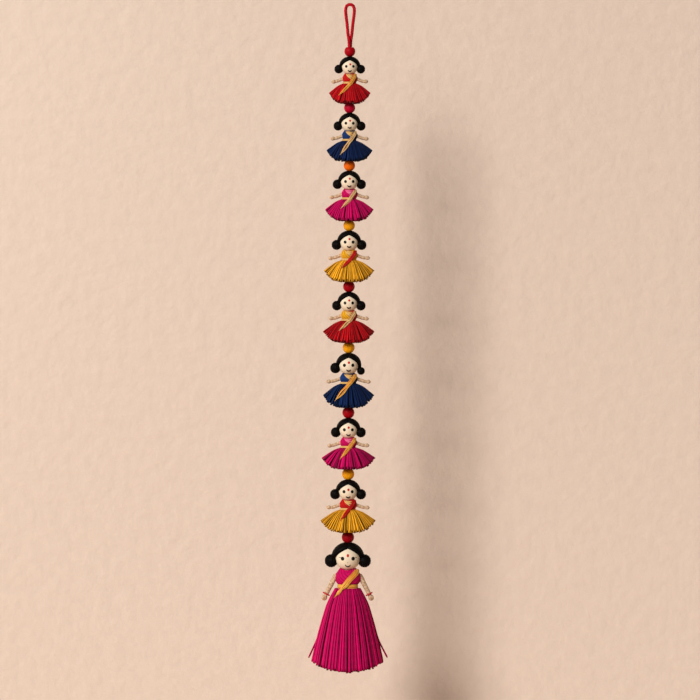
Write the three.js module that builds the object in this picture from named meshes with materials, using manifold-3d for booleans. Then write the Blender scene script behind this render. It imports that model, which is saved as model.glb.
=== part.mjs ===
// A hanging string of nine handmade jute dolls: eight small ones and a large one at the bottom,
// each under a wooden bead, all threaded on one cord that ends in a hanging loop.
// Millimetres, +Z up, +X to the viewer's right. The dolls face -Y, so their own left is +X.
// The origin is the inside top of the loop, where a nail or a hook carries the string.

import * as THREE from "three";
import { mergeVertices } from "three/addons/utils/BufferGeometryUtils.js";
import Module from "manifold-3d";

const wasm = await Module();
wasm.setup();

// Cord
const cordDiameter = 2.5;
const cordSides = 8;
const cordClearance = 0.3;
const boreSides = 6;
// a bore's flats lie further in than its corners, so its radius is set out to its corners
const boreRadius = (cordDiameter / 2 + cordClearance) / Math.cos(Math.PI / boreSides);
const mouthSides = 12;
const topKnotDiameter = 5.2;
const endKnotDiameter = 6;

// Fits: pieces that rest on each other, a bead's headroom under a skirt, and how far each bend sways
const seatGap = 0.3;
const swayGap = 0.5;
const swayAngle = THREE.MathUtils.degToRad(15);

// Hanging loop, of a thicker cord: half of its centre line, from the first bead's mouth up to the
// top. The two legs pass behind each other where they come together.
const loopDiameter = 3.6;
const loopHalf = [
  [0.7, 1.75, -49.9],
  [0.75, 1.72, -46.8],
  [1.15, 1.45, -41],
  [1.75, 0.8, -37.2],
  [2.35, 0.2, -33.2],
  [3, 0, -26.4],
  [3.75, 0, -19.2],
  [4.7, 0, -12],
  [5.2, 0, -6.5],
  [4.95, 0, -2.8],
  [3.4, 0, 0.5],
];
const loopSteps = 30;

// Spacer beads grow a little down the string
const firstBeadDiameter = 12.5;
const beadGrowth = 0.2;
const beadSides = 10;
const beadSteps = 7;

// Hollow under a small skirt that takes the top of the next bead
const hollowDepth = 1.5;

// Colours of wood, yarn and ribbon
const colours = {
  cord: 0xb80c24,
  crimson: 0xbe0c26,
  rose: 0xc30f3a,
  darkCrimson: 0xa60b22,
  orange: 0xf08210,
  goldBead: 0xf0a514,
  wood: 0xebd7b4,
  jute: 0xe1be96,
  hair: 0x14120f,
  scarlet: 0xd8161c,
  navy: 0x142864,
  blue: 0x1b3a86,
  magenta: 0xd7006a,
  marigold: 0xf5aa1e,
  yellow: 0xf2b81f,
  goldRibbon: 0xe0a235,
  tanRibbon: 0xd1a05a,
  redRibbon: 0xc8202a,
};

// The small dolls from the top: head diameter, skirt width and skirt height, the sash's tip
// (sideways and below the skirt's start, in head radii), then the colours
const smallDolls = [
  {
    head: 19.7, skirtWidth: 50.2, skirtDrop: 22.9, sashTip: [-1.33, 1.5],
    bead: "crimson", skirt: "crimson", bodice: "scarlet", sash: "goldRibbon",
  },
  {
    head: 20.5, skirtWidth: 56.0, skirtDrop: 23.5, sashTip: [-1.08, 1.7],
    bead: "rose", skirt: "navy", bodice: "blue", sash: "tanRibbon",
  },
  {
    head: 21.3, skirtWidth: 58.4, skirtDrop: 25.0, sashTip: [-0.97, 1.08],
    bead: "orange", skirt: "magenta", bodice: "magenta", sash: "tanRibbon",
  },
  {
    head: 22.3, skirtWidth: 60.4, skirtDrop: 25.2, sashTip: [-0.89, 0.94],
    bead: "goldBead", skirt: "marigold", bodice: "yellow", sash: "redRibbon",
  },
  {
    head: 21.5, skirtWidth: 62.0, skirtDrop: 25.7, sashTip: [-1.09, 1.14],
    bead: "crimson", skirt: "crimson", bodice: "yellow", sash: "tanRibbon",
  },
  {
    head: 23.6, skirtWidth: 61.8, skirtDrop: 28.0, sashTip: [-1.37, 1.73],
    bead: "goldBead", skirt: "navy", bodice: "blue", sash: "goldRibbon",
  },
  {
    head: 22.4, skirtWidth: 64.7, skirtDrop: 24.8, sashTip: [-0.85, 1.18],
    bead: "crimson", skirt: "magenta", bodice: "magenta", sash: "goldRibbon",
  },
  {
    head: 23.0, skirtWidth: 66.5, skirtDrop: 26.2, sashTip: [-0.82, 1.12],
    bead: "goldBead", skirt: "marigold", bodice: "scarlet", sash: "redRibbon",
  },
];

// One pattern serves all the small dolls. Its lengths are in head radii, unless a unit is named.
const smallPattern = {
  hair: { width: 1.3, back: 1.24, top: 1.22, napeDrop: 0.62, sides: 12, rings: 6 },
  buns: { radius: 0.56, out: 1.38, drop: 0.35, sides: 8, rings: 4 },
  headSides: 12,
  headRings: 7,
  bodice: {
    heightMm: 9.6,
    depth: 0.8,
    sides: 8,
    // radius in head radii, and depth below the chin as a share of the bodice's height
    profile: [[0.66, 0.07], [0.88, 0.32], [0.88, 0.68], [0.74, 1]],
  },
  coreRadiusMm: 3.1,
  coreInSkirtMm: 4,
  beltHeightMm: 1.8,
  beltRadius: 0.88,
  beltInnerRadius: 0.68,
  ribbonThicknessMm: 0.9,
  beadSinkMm: 0.8,
  skirt: {
    waist: 0.84,
    depth: 0.72,
    sideShare: 0.47,
    frontShare: 1,
    hemPower: 4.2,
    ridges: 12,
    ridgeMm: 0.9,
    // how far down and how far out, as shares, from the waist to the rim
    flare: [[0, 0], [0.22, 0.38], [1, 1]],
    // rings on the domed underside, as shares of the way out
    underside: [0.66],
  },
  // shoulder and hand heights are shares of the bodice's height below the chin
  arm: {
    radiusMm: 2,
    handRadiusMm: 2.3,
    reach: 2.28,
    shoulderDrop: 0.32,
    handDrop: 0.86,
    sides: 6,
    // outline of the hand round its centre, in hand radii
    hand: [[0.75, -1.4], [1, -0.4], [0.85, 0.45], [0, 1]],
  },
};

// The large doll at the bottom, in millimetres unless its lengths are named as head radii
const largeDoll = {
  head: 30.5,
  skirtWidth: 87,
  skirtDrop: 99,
  bead: "darkCrimson",
  skirt: "magenta",
  bodice: "magenta",
  sash: "goldRibbon",
};
const largePattern = {
  hair: { width: 1.3, back: 1.24, top: 1.22, napeDrop: 0.62, sides: 16, rings: 9 },
  buns: { radius: 0.52, out: 1.346, drop: 0.26, sides: 10, rings: 7 },
  headSides: 16,
  headRings: 10,
  bodice: {
    heightMm: 16.8,
    depth: 0.8,
    sides: 16,
    profile: [[0.7, 0.05], [0.93, 0.22], [1.02, 0.52], [0.95, 0.8], [0.78, 1]],
  },
  coreRadiusMm: 4,
  coreInBodiceMm: 7,
  beltHeightMm: 5.5,
  beltRadius: 0.82,
  beltInnerRadius: 0.72,
  ribbonThicknessMm: 1.1,
  beadSinkMm: 1.7,
  skirt: {
    waist: 1.02,
    depth: 0.72,
    sideShare: 0.88,
    frontShare: 0.99,
    hemPower: 2.4,
    ridges: 24,
    ridgeMm: 1.3,
    flare: [[0, 0], [0.1, 0.18], [0.22, 0.355], [0.44, 0.565], [0.72, 0.8], [1, 1]],
    underside: [0.75, 0.35],
  },
};

// A loose strand stands off each side of the large skirt. Each line gives where it leaves the
// skirt and where it ends, sideways in half widths and down in drops.
const looseStrands = [
  { leaves: [-0.84, 0.61], ends: [-1.07, 0.835] },
  { leaves: [0.88, 0.64], ends: [1.1, 0.829] },
];
const strandRadius = 1.2;

// The large doll's arms and bangles
const armAngle = THREE.MathUtils.degToRad(27);
const armLength = 29;
const armTopRadius = 3.1;
const wristRadius = 2.5;
const shoulderRadius = 3.2;
// shoulder's place: sideways in head radii, and down as a share of the bodice's height
const largeShoulderOut = 0.97;
const largeShoulderDrop = 0.42;
const handRadius = 3.3;
const armSides = 10;
const armClearance = 0.35;
const bangleAlongArm = 24.1;
const bangleThickness = 1.8;
const bangleSides = 6;
const bangleSteps = 14;

// Hairline seen from the front, in head radii from the head's centre: the parting's peak, then outward
const hairline = [[0, 0.76], [0.46, 0.58], [0.82, 0.24], [0.97, -0.25], [0.97, -1.7]];

// The sash's middle line seen from the front: sideways in head radii, its height, and its width in
// head radii. Heights above the skirt are shares of the way up to the chin, and heights below its
// start are in head radii. The sash rises from the belt at the back, crosses the doll's left
// shoulder and tapers to a point over the skirt. The small dolls' sashes end at different places,
// so their hanging ends are given as shares of the way from the belt to the tip.
const smallSash = {
  back: [[-0.3, 0.1, 0.3], [0.1, 0.46, 0.4], [0.5, 0.78, 0.42], [0.58, 0.9, 0.4]],
  front: [
    [0.62, 0.9, 0.4],
    [0.58, 0.74, 0.44],
    [0.32, 0.4, 0.46],
    [0.08, 0.06, 0.46],
  ],
  hanging: [[0.06, 0.46], [0.4, 0.38], [0.72, 0.26], [1, 0.1]],
  shoulder: { out: 0.62, width: 0.4 },
  lift: 1,
};
const largeSash = {
  back: [[-0.3, 0.15, 0.3], [0.1, 0.5, 0.4], [0.56, 0.84, 0.44], [0.64, 0.94, 0.42]],
  front: [
    [0.66, 0.94, 0.42],
    [0.62, 0.84, 0.44],
    [0.12, 0.54, 0.46],
    [-0.26, 0.16, 0.44],
    [-0.46, -0.05, 0.38],
    [-0.76, -0.36, 0.26],
    [-1.04, -0.7, 0.08],
  ],
  shoulder: { out: 0.66, width: 0.44 },
  lift: 1.3,
};
const sashInBelt = 0.3;

// One doll's smaller, lower bun, on its own left
const smallBunDoll = 6;
const smallBun = { radius: 0.36, out: 1.26, drop: 0.64 };

// Turns any closed geometry into a solid that can be joined and cut
function solidOf(geometry) {
  const bare = geometry.clone();
  for (const name of Object.keys(bare.attributes)) {
    if (name !== "position") bare.deleteAttribute(name);
  }
  const merged = mergeVertices(bare, 1e-4);
  const position = merged.getAttribute("position");
  const corner = merged.getIndex().array;
  const faces = [];
  let volume = 0;
  const [a, b, c] = [new THREE.Vector3(), new THREE.Vector3(), new THREE.Vector3()];
  for (let i = 0; i < corner.length; i += 3) {
    const [p, q, r] = [corner[i], corner[i + 1], corner[i + 2]];
    if (p === q || q === r || r === p) continue;
    faces.push([p, q, r]);
    a.fromBufferAttribute(position, p);
    b.fromBufferAttribute(position, q);
    c.fromBufferAttribute(position, r);
    volume += a.dot(b.cross(c));
  }
  const outward = volume > 0 ? faces : faces.map(([p, q, r]) => [p, r, q]);
  const mesh = new wasm.Mesh({
    numProp: 3,
    vertProperties: new Float32Array(position.array),
    triVerts: new Uint32Array(outward.flat()),
  });
  return new wasm.Manifold(mesh);
}

function geometryOf(solid) {
  const mesh = solid.getMesh();
  const geometry = new THREE.BufferGeometry();
  geometry.setAttribute("position", new THREE.BufferAttribute(mesh.vertProperties, 3));
  geometry.setIndex(new THREE.BufferAttribute(mesh.triVerts, 1));
  geometry.computeVertexNormals();
  return geometry;
}

function piece(name, solid, colour, roughness = 0.9) {
  const material = new THREE.MeshStandardMaterial({ color: colours[colour], roughness, metalness: 0 });
  const mesh = new THREE.Mesh(geometryOf(solid), material);
  mesh.name = name;
  return mesh;
}

function ball(radius, sides, rings, at = [0, 0, 0], stretch = [1, 1, 1]) {
  const geometry = new THREE.SphereGeometry(radius, sides, rings).rotateX(Math.PI / 2);
  return solidOf(geometry.scale(...stretch).translate(...at));
}

// A solid of revolution about +Z from [radius, height] points
function turned(points, sides, depth = 1) {
  const profile = points.map(([radius, height]) => new THREE.Vector2(radius, height));
  return solidOf(new THREE.LatheGeometry(profile, sides).rotateX(Math.PI / 2).scale(1, depth, 1));
}

function rod(radius, top, bottom, sides = cordSides) {
  return turned([[0, bottom], [radius, bottom], [radius, top], [0, top]], sides);
}

// The cord's bore through a piece, long enough to pass its top and bottom
function cordBore(top, bottom) {
  return rod(boreRadius, top + 1, bottom - 1, boreSides);
}

// Joins rings of equal count, and closes the ends with a point each or, for a ribbon, with flat caps
function skinOf(rings, top, bottom) {
  const count = rings[0].length;
  const points = rings.flat();
  const faces = [];
  for (let row = 0; row + 1 < rings.length; row++) {
    for (let i = 0; i < count; i++) {
      const [a, b] = [row * count + i, row * count + ((i + 1) % count)];
      faces.push(a, b, b + count, a, b + count, a + count);
    }
  }
  points.push(top, bottom);
  const last = (rings.length - 1) * count;
  for (let i = 0; i < count; i++) {
    const next = (i + 1) % count;
    faces.push(points.length - 2, next, i);
    faces.push(points.length - 1, last + i, last + next);
  }
  const geometry = new THREE.BufferGeometry();
  geometry.setAttribute("position", new THREE.Float32BufferAttribute(points.flat(), 3));
  geometry.setIndex(faces);
  return solidOf(geometry);
}

// Value of a [position, value] list at a position, with straight lines between its points
function along(list, position) {
  const next = list.findIndex(([at]) => at >= position);
  if (next <= 0) return list.at(next)[1];
  const [[from, low], [to, high]] = [list[next - 1], list[next]];
  return low + ((high - low) * (position - from)) / (to - from);
}

// Heights of a doll's levels, from its head's centre down
function levelsOf(doll, pattern) {
  const r = doll.head / 2;
  const chin = -r;
  const waist = chin - pattern.bodice.heightMm;
  const beltFoot = waist - pattern.beltHeightMm;
  return { r, hairTop: r * pattern.hair.top, chin, waist, beltFoot, skirtStart: beltFoot - seatGap };
}

// Hair: a cap over the back and top of the head, with a bun on each side and a dimple for the bead
function hairSolid(doll, pattern, buns, beadRadius) {
  const { r, hairTop } = levelsOf(doll, pattern);
  const { width, back, top, napeDrop, sides, rings } = pattern.hair;
  const face = new THREE.Shape();
  const edge = hairline.map(([x, z]) => [x * r, z * r]);
  face.moveTo(...edge[0]);
  edge.slice(1).forEach((point) => face.lineTo(...point));
  edge.slice(1).reverse().forEach(([x, z]) => face.lineTo(-x, z));
  const faceDepth = 2 * r;
  const opening = new THREE.ExtrudeGeometry(face, { depth: faceDepth, bevelEnabled: false });
  const below = new THREE.BoxGeometry(4 * r, 4 * r, 2 * r).translate(0, 0, -r * (1 + napeDrop));
  let hair = ball(r, sides, rings, [0, 0, 0], [width, back, top]);
  hair = hair.subtract(solidOf(opening.rotateX(Math.PI / 2)));
  hair = hair.subtract(solidOf(below));
  buns.forEach((bun, i) => {
    const side = i === 0 ? 1 : -1;
    const at = [side * bun.out * r, 0, -bun.drop * r];
    hair = hair.add(ball(bun.radius * r, pattern.buns.sides, pattern.buns.rings, at));
  });
  hair = hair.subtract(ball(r + seatGap, pattern.headSides, pattern.headRings));
  const beadCentre = hairTop + beadRadius + seatGap - pattern.beadSinkMm;
  hair = hair.subtract(ball(beadRadius + seatGap, beadSides, beadSteps, [0, 0, beadCentre]));
  return hair.subtract(cordBore(hairTop, 0));
}

// Outer radius of the bodice at a depth below the chin
function bodiceRadius(doll, pattern, depth) {
  const { r } = levelsOf(doll, pattern);
  const { profile, heightMm } = pattern.bodice;
  const share = THREE.MathUtils.clamp(depth / heightMm, profile[0][1], 1);
  return r * along(profile.map(([radius, down]) => [down, radius]), share);
}

// Bodice: a puffed wrap round the core, open along the cord
function bodiceSolid(doll, pattern, coreRoom, extra = 0) {
  const { r, chin, beltFoot } = levelsOf(doll, pattern);
  const { profile, heightMm, depth, sides } = pattern.bodice;
  const outline = profile.map(([radius, down]) => [radius * r + extra / depth, chin - down * heightMm]);
  outline[0][1] += extra;
  const tucked = pattern.beltInnerRadius * r;
  const [shoulder, waist] = [outline[0][1], outline.at(-1)[1]];
  const closed = [[0, shoulder], ...outline, [tucked, waist], [tucked, beltFoot], [0, beltFoot]];
  const wrap = turned(closed, sides, depth);
  return extra ? wrap : wrap.subtract(rod(coreRoom, shoulder + 1, beltFoot - 1));
}

// Radius and drop of a skirt's outside at an angle and a share of the way down to the rim
function skirtPoint(doll, pattern, angle, share) {
  const { r, skirtStart } = levelsOf(doll, pattern);
  const { waist, sideShare, frontShare, hemPower, depth, flare } = pattern.skirt;
  const lowered = 1 - Math.abs(Math.cos(angle)) ** hemPower;
  const fall = doll.skirtDrop * THREE.MathUtils.lerp(sideShare, frontShare, lowered);
  const radius = THREE.MathUtils.lerp(waist * r, doll.skirtWidth / 2, along(flare, share));
  const flat = THREE.MathUtils.lerp(pattern.bodice.depth, depth, share);
  return { radius, flat, z: skirtStart - share * fall };
}

const anglesOf = (count) => Array.from({ length: count }, (_, i) => (i * 2 * Math.PI) / count);

// The skirt's outside from the waist to the rim, as rings of points
function skirtRings(doll, pattern) {
  const { ridges, ridgeMm, flare } = pattern.skirt;
  return flare.map(([share]) =>
    anglesOf(2 * ridges).map((angle, i) => {
      const { radius, flat, z } = skirtPoint(doll, pattern, angle, share);
      const ridge = (i % 2 ? -0.5 : 0.5) * ridgeMm * Math.min(1, 2 * share);
      const out = radius + ridge;
      return [out * Math.cos(angle), out * flat * Math.sin(angle), z - ridge * share];
    }),
  );
}

const roomSides = 12;

// The room that a skirt needs under its sash: its outside without ridges, grown all round
function skirtRoom(doll, pattern) {
  const { ridgeMm, flare } = pattern.skirt;
  const rings = flare.map(([share]) =>
    anglesOf(roomSides).map((angle) => {
      const { radius, flat, z } = skirtPoint(doll, pattern, angle, share);
      const grown = radius + 0.5 * ridgeMm * Math.min(1, 2 * share) + seatGap;
      const out = grown / Math.cos(Math.PI / roomSides);
      return [out * Math.cos(angle), (out * flat + seatGap * (1 - flat)) * Math.sin(angle), z + seatGap];
    }),
  );
  return skinOf(rings, [0, 0, rings[0][0][2]], [0, 0, rings.at(-1)[0][2]]);
}

// Skirt: a fan of yarn tied at the waist, ridged from the waist down, with its strand ends on a
// shallow dome. hollow gives the place for the next bead, or is null under the large doll.
function skirtSolid(doll, pattern, hollow, core) {
  const { skirtStart } = levelsOf(doll, pattern);
  const { ridges, underside } = pattern.skirt;
  const angles = anglesOf(2 * ridges);
  const ring = (radius, z) => angles.map((a) => [radius * Math.cos(a), radius * Math.sin(a), z]);
  const bottom = skirtStart - doll.skirtDrop;
  const rings = skirtRings(doll, pattern);
  for (const inward of underside) {
    rings.push(
      angles.map((angle) => {
        const { radius, flat, z } = skirtPoint(doll, pattern, angle, 1);
        const fall = THREE.MathUtils.lerp(z, bottom, 1 - inward ** 2);
        return [radius * inward * Math.cos(angle), radius * inward * flat * Math.sin(angle), fall];
      }),
    );
  }
  let middle = bottom;
  if (hollow) {
    middle = bottom + hollowDepth;
    rings.push(ring(hollow.mouth, bottom), ring(hollow.ceiling, middle));
  }
  let skirt = skinOf(rings, [0, 0, skirtStart], [0, 0, middle]);
  if (core) {
    const coreFoot = skirtStart - core.length - seatGap;
    skirt = skirt.subtract(rod(core.radius + seatGap, skirtStart + 1, coreFoot));
    skirt = skirt.subtract(cordBore(skirtStart, middle));
  }
  return skirt;
}

// A strand that stands off the large skirt, from inside the skirt to its own end
function looseStrand({ leaves, ends }) {
  const { skirtStart } = levelsOf(largeDoll, largePattern);
  const { skirtWidth, skirtDrop } = largeDoll;
  const [start, end] = [leaves, ends].map(
    ([out, down]) => new THREE.Vector3((out * skirtWidth) / 2, 0, skirtStart - down * skirtDrop),
  );
  const way = end.clone().sub(start);
  const strand = new THREE.CylinderGeometry(strandRadius, strandRadius, way.length(), 6);
  const upright = new THREE.Vector3(0, 1, 0);
  strand.applyQuaternion(new THREE.Quaternion().setFromUnitVectors(upright, way.clone().normalize()));
  const middle = start.add(end).multiplyScalar(0.5);
  return solidOf(strand.translate(middle.x, middle.y, middle.z));
}

// A point on the bodice or the skirt seen from the front (side -1) or from behind (side 1)
function dressedPoint(doll, pattern, x, z, side) {
  const { r, chin, waist, skirtStart } = levelsOf(doll, pattern);
  if (z > skirtStart) {
    const dressed = z > waist ? bodiceRadius(doll, pattern, chin - z) : pattern.beltRadius * r;
    const radius = Math.max(dressed, Math.abs(x) + 0.1);
    return new THREE.Vector3(x, side * pattern.bodice.depth * Math.sqrt(radius ** 2 - x ** 2), z);
  }
  let angle = (side * Math.PI) / 2;
  let share = 0;
  for (let step = 0; step < 12; step++) {
    const { radius } = skirtPoint(doll, pattern, angle, share);
    angle = side * Math.acos(THREE.MathUtils.clamp(x / radius, -1, 1));
    const { z: rim } = skirtPoint(doll, pattern, angle, 1);
    share = THREE.MathUtils.clamp((skirtStart - z) / (skirtStart - rim), 0, 1);
  }
  const { radius, flat } = skirtPoint(doll, pattern, angle, share);
  return new THREE.Vector3(x, flat * radius * Math.sin(angle), z);
}

// Sash: a flat ribbon laid over the dressed doll, joined to a belt round the waist
function sashSolid(doll, pattern, sash) {
  const { r, chin, waist, beltFoot, skirtStart } = levelsOf(doll, pattern);
  const thickness = pattern.ribbonThicknessMm;
  const stations = [];
  const lay = ([x, rise, width], side) => {
    const z = skirtStart + rise * (rise > 0 ? chin - skirtStart : r);
    const onBelt = z > skirtStart && z < waist;
    const at = dressedPoint(doll, pattern, x * r, z, side);
    const higher = dressedPoint(doll, pattern, x * r, z + (z > skirtStart ? 0.5 : -0.5), side);
    const wider = dressedPoint(doll, pattern, x * r + 0.5, z, side);
    const normal = wider.sub(at).cross(higher.sub(at)).normalize();
    if (normal.y * side < 0) normal.negate();
    at.addScaledVector(normal, onBelt ? sashInBelt : sash.lift);
    stations.push({ at, normal, width: width * r });
  };
  sash.back.forEach((station) => lay(station, 1));
  const shoulderTop = chin - pattern.bodice.profile[0][1] * pattern.bodice.heightMm;
  const top = new THREE.Vector3(sash.shoulder.out * r, 0, shoulderTop + sash.lift);
  stations.push({ at: top, normal: new THREE.Vector3(0, 0, 1), width: sash.shoulder.width * r });
  sash.front.forEach((station) => lay(station, -1));
  for (const [share, width] of sash.hanging ?? []) {
    const [tipX, tipDown] = doll.sashTip;
    lay([THREE.MathUtils.lerp(sash.front.at(-1)[0], tipX, share), -share * tipDown, width], -1);
  }
  const rings = stations.map(({ at, normal, width }, i) => {
    const before = stations[Math.max(0, i - 1)].at;
    const after = stations[Math.min(stations.length - 1, i + 1)].at;
    const across = after.clone().sub(before).cross(normal).normalize().multiplyScalar(width / 2);
    const up = across.clone().cross(after.clone().sub(before)).normalize().multiplyScalar(thickness / 2);
    const corners = [[1, 1], [-1, 1], [-1, -1], [1, -1]];
    return corners.map(([s, t]) =>
      at.clone().addScaledVector(across, s).addScaledVector(up, t).toArray(),
    );
  });
  const middleOf = (ring) =>
    ring[0].map((_, axis) => ring.reduce((sum, point) => sum + point[axis] / ring.length, 0));
  const ribbon = skinOf(rings, middleOf(rings[0]), middleOf(rings.at(-1)))
    .subtract(bodiceSolid(doll, pattern, 0, seatGap))
    .subtract(skirtRoom(doll, pattern));
  const inner = pattern.beltInnerRadius * r + seatGap;
  const outer = pattern.beltRadius * r;
  const [beltTop, beltBottom] = [waist - seatGap, beltFoot];
  const belt = turned(
    [[inner, beltTop], [outer, beltTop], [outer, beltBottom], [inner, beltBottom], [inner, beltTop]],
    pattern.bodice.sides,
    pattern.bodice.depth,
  );
  return ribbon.add(belt);
}

// A small doll's arm bar: where it leaves the core, its slope and its length to the hand's centre
function armLine(doll, pattern) {
  const { r, chin } = levelsOf(doll, pattern);
  const { handRadiusMm, reach, shoulderDrop, handDrop } = pattern.arm;
  const height = pattern.bodice.heightMm;
  const run = reach * r - handRadiusMm;
  const fall = (handDrop - shoulderDrop) * height;
  const start = chin - shoulderDrop * height;
  return { start, slope: Math.atan2(fall, run), length: Math.hypot(run, fall) };
}

// Both arms of a small doll, from [radius, distance] points along each arm
function armPair(doll, pattern, outline) {
  const { start, slope } = armLine(doll, pattern);
  const [left, right] = [1, -1].map((side) => {
    const profile = outline.map(([radius, distance]) => new THREE.Vector2(radius, distance));
    const arm = new THREE.LatheGeometry(profile, pattern.arm.sides).rotateX(Math.PI / 2);
    return solidOf(arm.rotateY(side * (Math.PI / 2 + slope)).translate(0, 0, start));
  });
  return left.add(right);
}

// A small doll's head, core and arms: turned wood and wound jute, joined for good.
// Its arms are one bar through the core, sloping down to round hands.
function headAndArmsSolid(doll, pattern) {
  const { r, skirtStart } = levelsOf(doll, pattern);
  const { radiusMm, handRadiusMm, hand } = pattern.arm;
  const { length } = armLine(doll, pattern);
  const coreEnd = skirtStart - pattern.coreInSkirtMm;
  const handOutline = hand.map(([radius, out]) => [radius * handRadiusMm, length + out * handRadiusMm]);
  return ball(r, pattern.headSides, pattern.headRings)
    .add(rod(pattern.coreRadiusMm, 0, coreEnd))
    .add(armPair(doll, pattern, [[0, 0], [radiusMm, 0], ...handOutline]))
    .subtract(cordBore(r, coreEnd));
}

// The room that a small doll's arms need in its bodice
function armSlots(doll, pattern) {
  const { length } = armLine(doll, pattern);
  const radius = pattern.arm.radiusMm + seatGap;
  return armPair(doll, pattern, [[0, 0], [radius, 0], [radius, length], [0, length]]);
}

// Points of a ball's outline as [radius, height], at degrees above its equator
function ballOutline(radius, height, degrees) {
  return degrees.map((above) => {
    const angle = THREE.MathUtils.degToRad(above);
    return [radius * Math.cos(angle), height + radius * Math.sin(angle)];
  });
}

// A large arm hanging from its shoulder along -Z, grown by extra on all sides
function largeArm(extra = 0) {
  const neck = THREE.MathUtils.radToDeg(Math.acos(wristRadius / handRadius));
  const points = [
    [0, shoulderRadius + extra],
    ...ballOutline(shoulderRadius + extra, 0, [60, 30, 0]),
    [armTopRadius + extra, -shoulderRadius],
    [wristRadius + extra, -bangleAlongArm],
    ...ballOutline(handRadius + extra, -armLength, [neck, 0, -40, -68]),
    [0, -armLength - handRadius - extra],
  ];
  const profile = points.map(([radius, height]) => new THREE.Vector2(radius, height));
  return new THREE.LatheGeometry(profile, armSides).rotateX(Math.PI / 2);
}

// Places something made for an arm that hangs straight down, on the doll's left (1) or right (-1)
function placeOnArm(geometry, side) {
  const { r, chin } = levelsOf(largeDoll, largePattern);
  const shoulder = chin - largeShoulderDrop * largePattern.bodice.heightMm;
  const out = side * largeShoulderOut * r;
  return solidOf(geometry.rotateY(-side * armAngle).translate(out, 0, shoulder));
}

// The string is built from the top down
const dollString = new THREE.Group();
dollString.name = "jute_doll_string";

const beadRadius = (index) => (firstBeadDiameter + index * beadGrowth) / 2;

// Hanging loop: the cord's free stretch, both ends in the first bead's mouth
const [legX, legY, loopEnd] = loopHalf[0];
const mouthRadius = Math.hypot(legX, legY) + loopDiameter / 2 + cordClearance;
const loopPoints = [
  ...loopHalf.map(([x, y, z]) => new THREE.Vector3(x, y, z)),
  new THREE.Vector3(0, 0, loopDiameter / 2),
  ...loopHalf.toReversed().map(([x, y, z]) => new THREE.Vector3(-x, -y, z)),
];
const cordSection = new THREE.Shape(
  Array.from({ length: cordSides }, (_, i) => {
    const angle = ((i + 0.5) * 2 * Math.PI) / cordSides;
    return new THREE.Vector2(Math.cos(angle), Math.sin(angle)).multiplyScalar(loopDiameter / 2);
  }),
);
const loopGeometry = new THREE.ExtrudeGeometry(cordSection, {
  steps: loopSteps,
  extrudePath: new THREE.CatmullRomCurve3(loopPoints),
  bevelEnabled: false,
});
dollString.add(piece("hanging_loop", solidOf(loopGeometry), "cord"));

// Bead with the cord's bore; the first one also has a wide mouth for the loop's legs and the top knot
function beadSolid(index) {
  const radius = beadRadius(index);
  let bead = ball(radius, beadSides, beadSteps).subtract(cordBore(radius, -radius));
  if (index === 0) {
    const mouthTop = Math.sqrt(radius ** 2 - mouthRadius ** 2);
    const depth = topKnotDiameter + 2 * seatGap;
    bead = bead.subtract(rod(mouthRadius, radius + 1, mouthTop - depth, mouthSides));
  }
  return bead;
}

const firstRadius = beadRadius(0);
let beadHeight = loopEnd - Math.sqrt(firstRadius ** 2 - mouthRadius ** 2);
const topKnotHeight = loopEnd - seatGap - topKnotDiameter / 2;
const dollCount = smallDolls.length + 1;
let endKnotHeight = 0;

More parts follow.
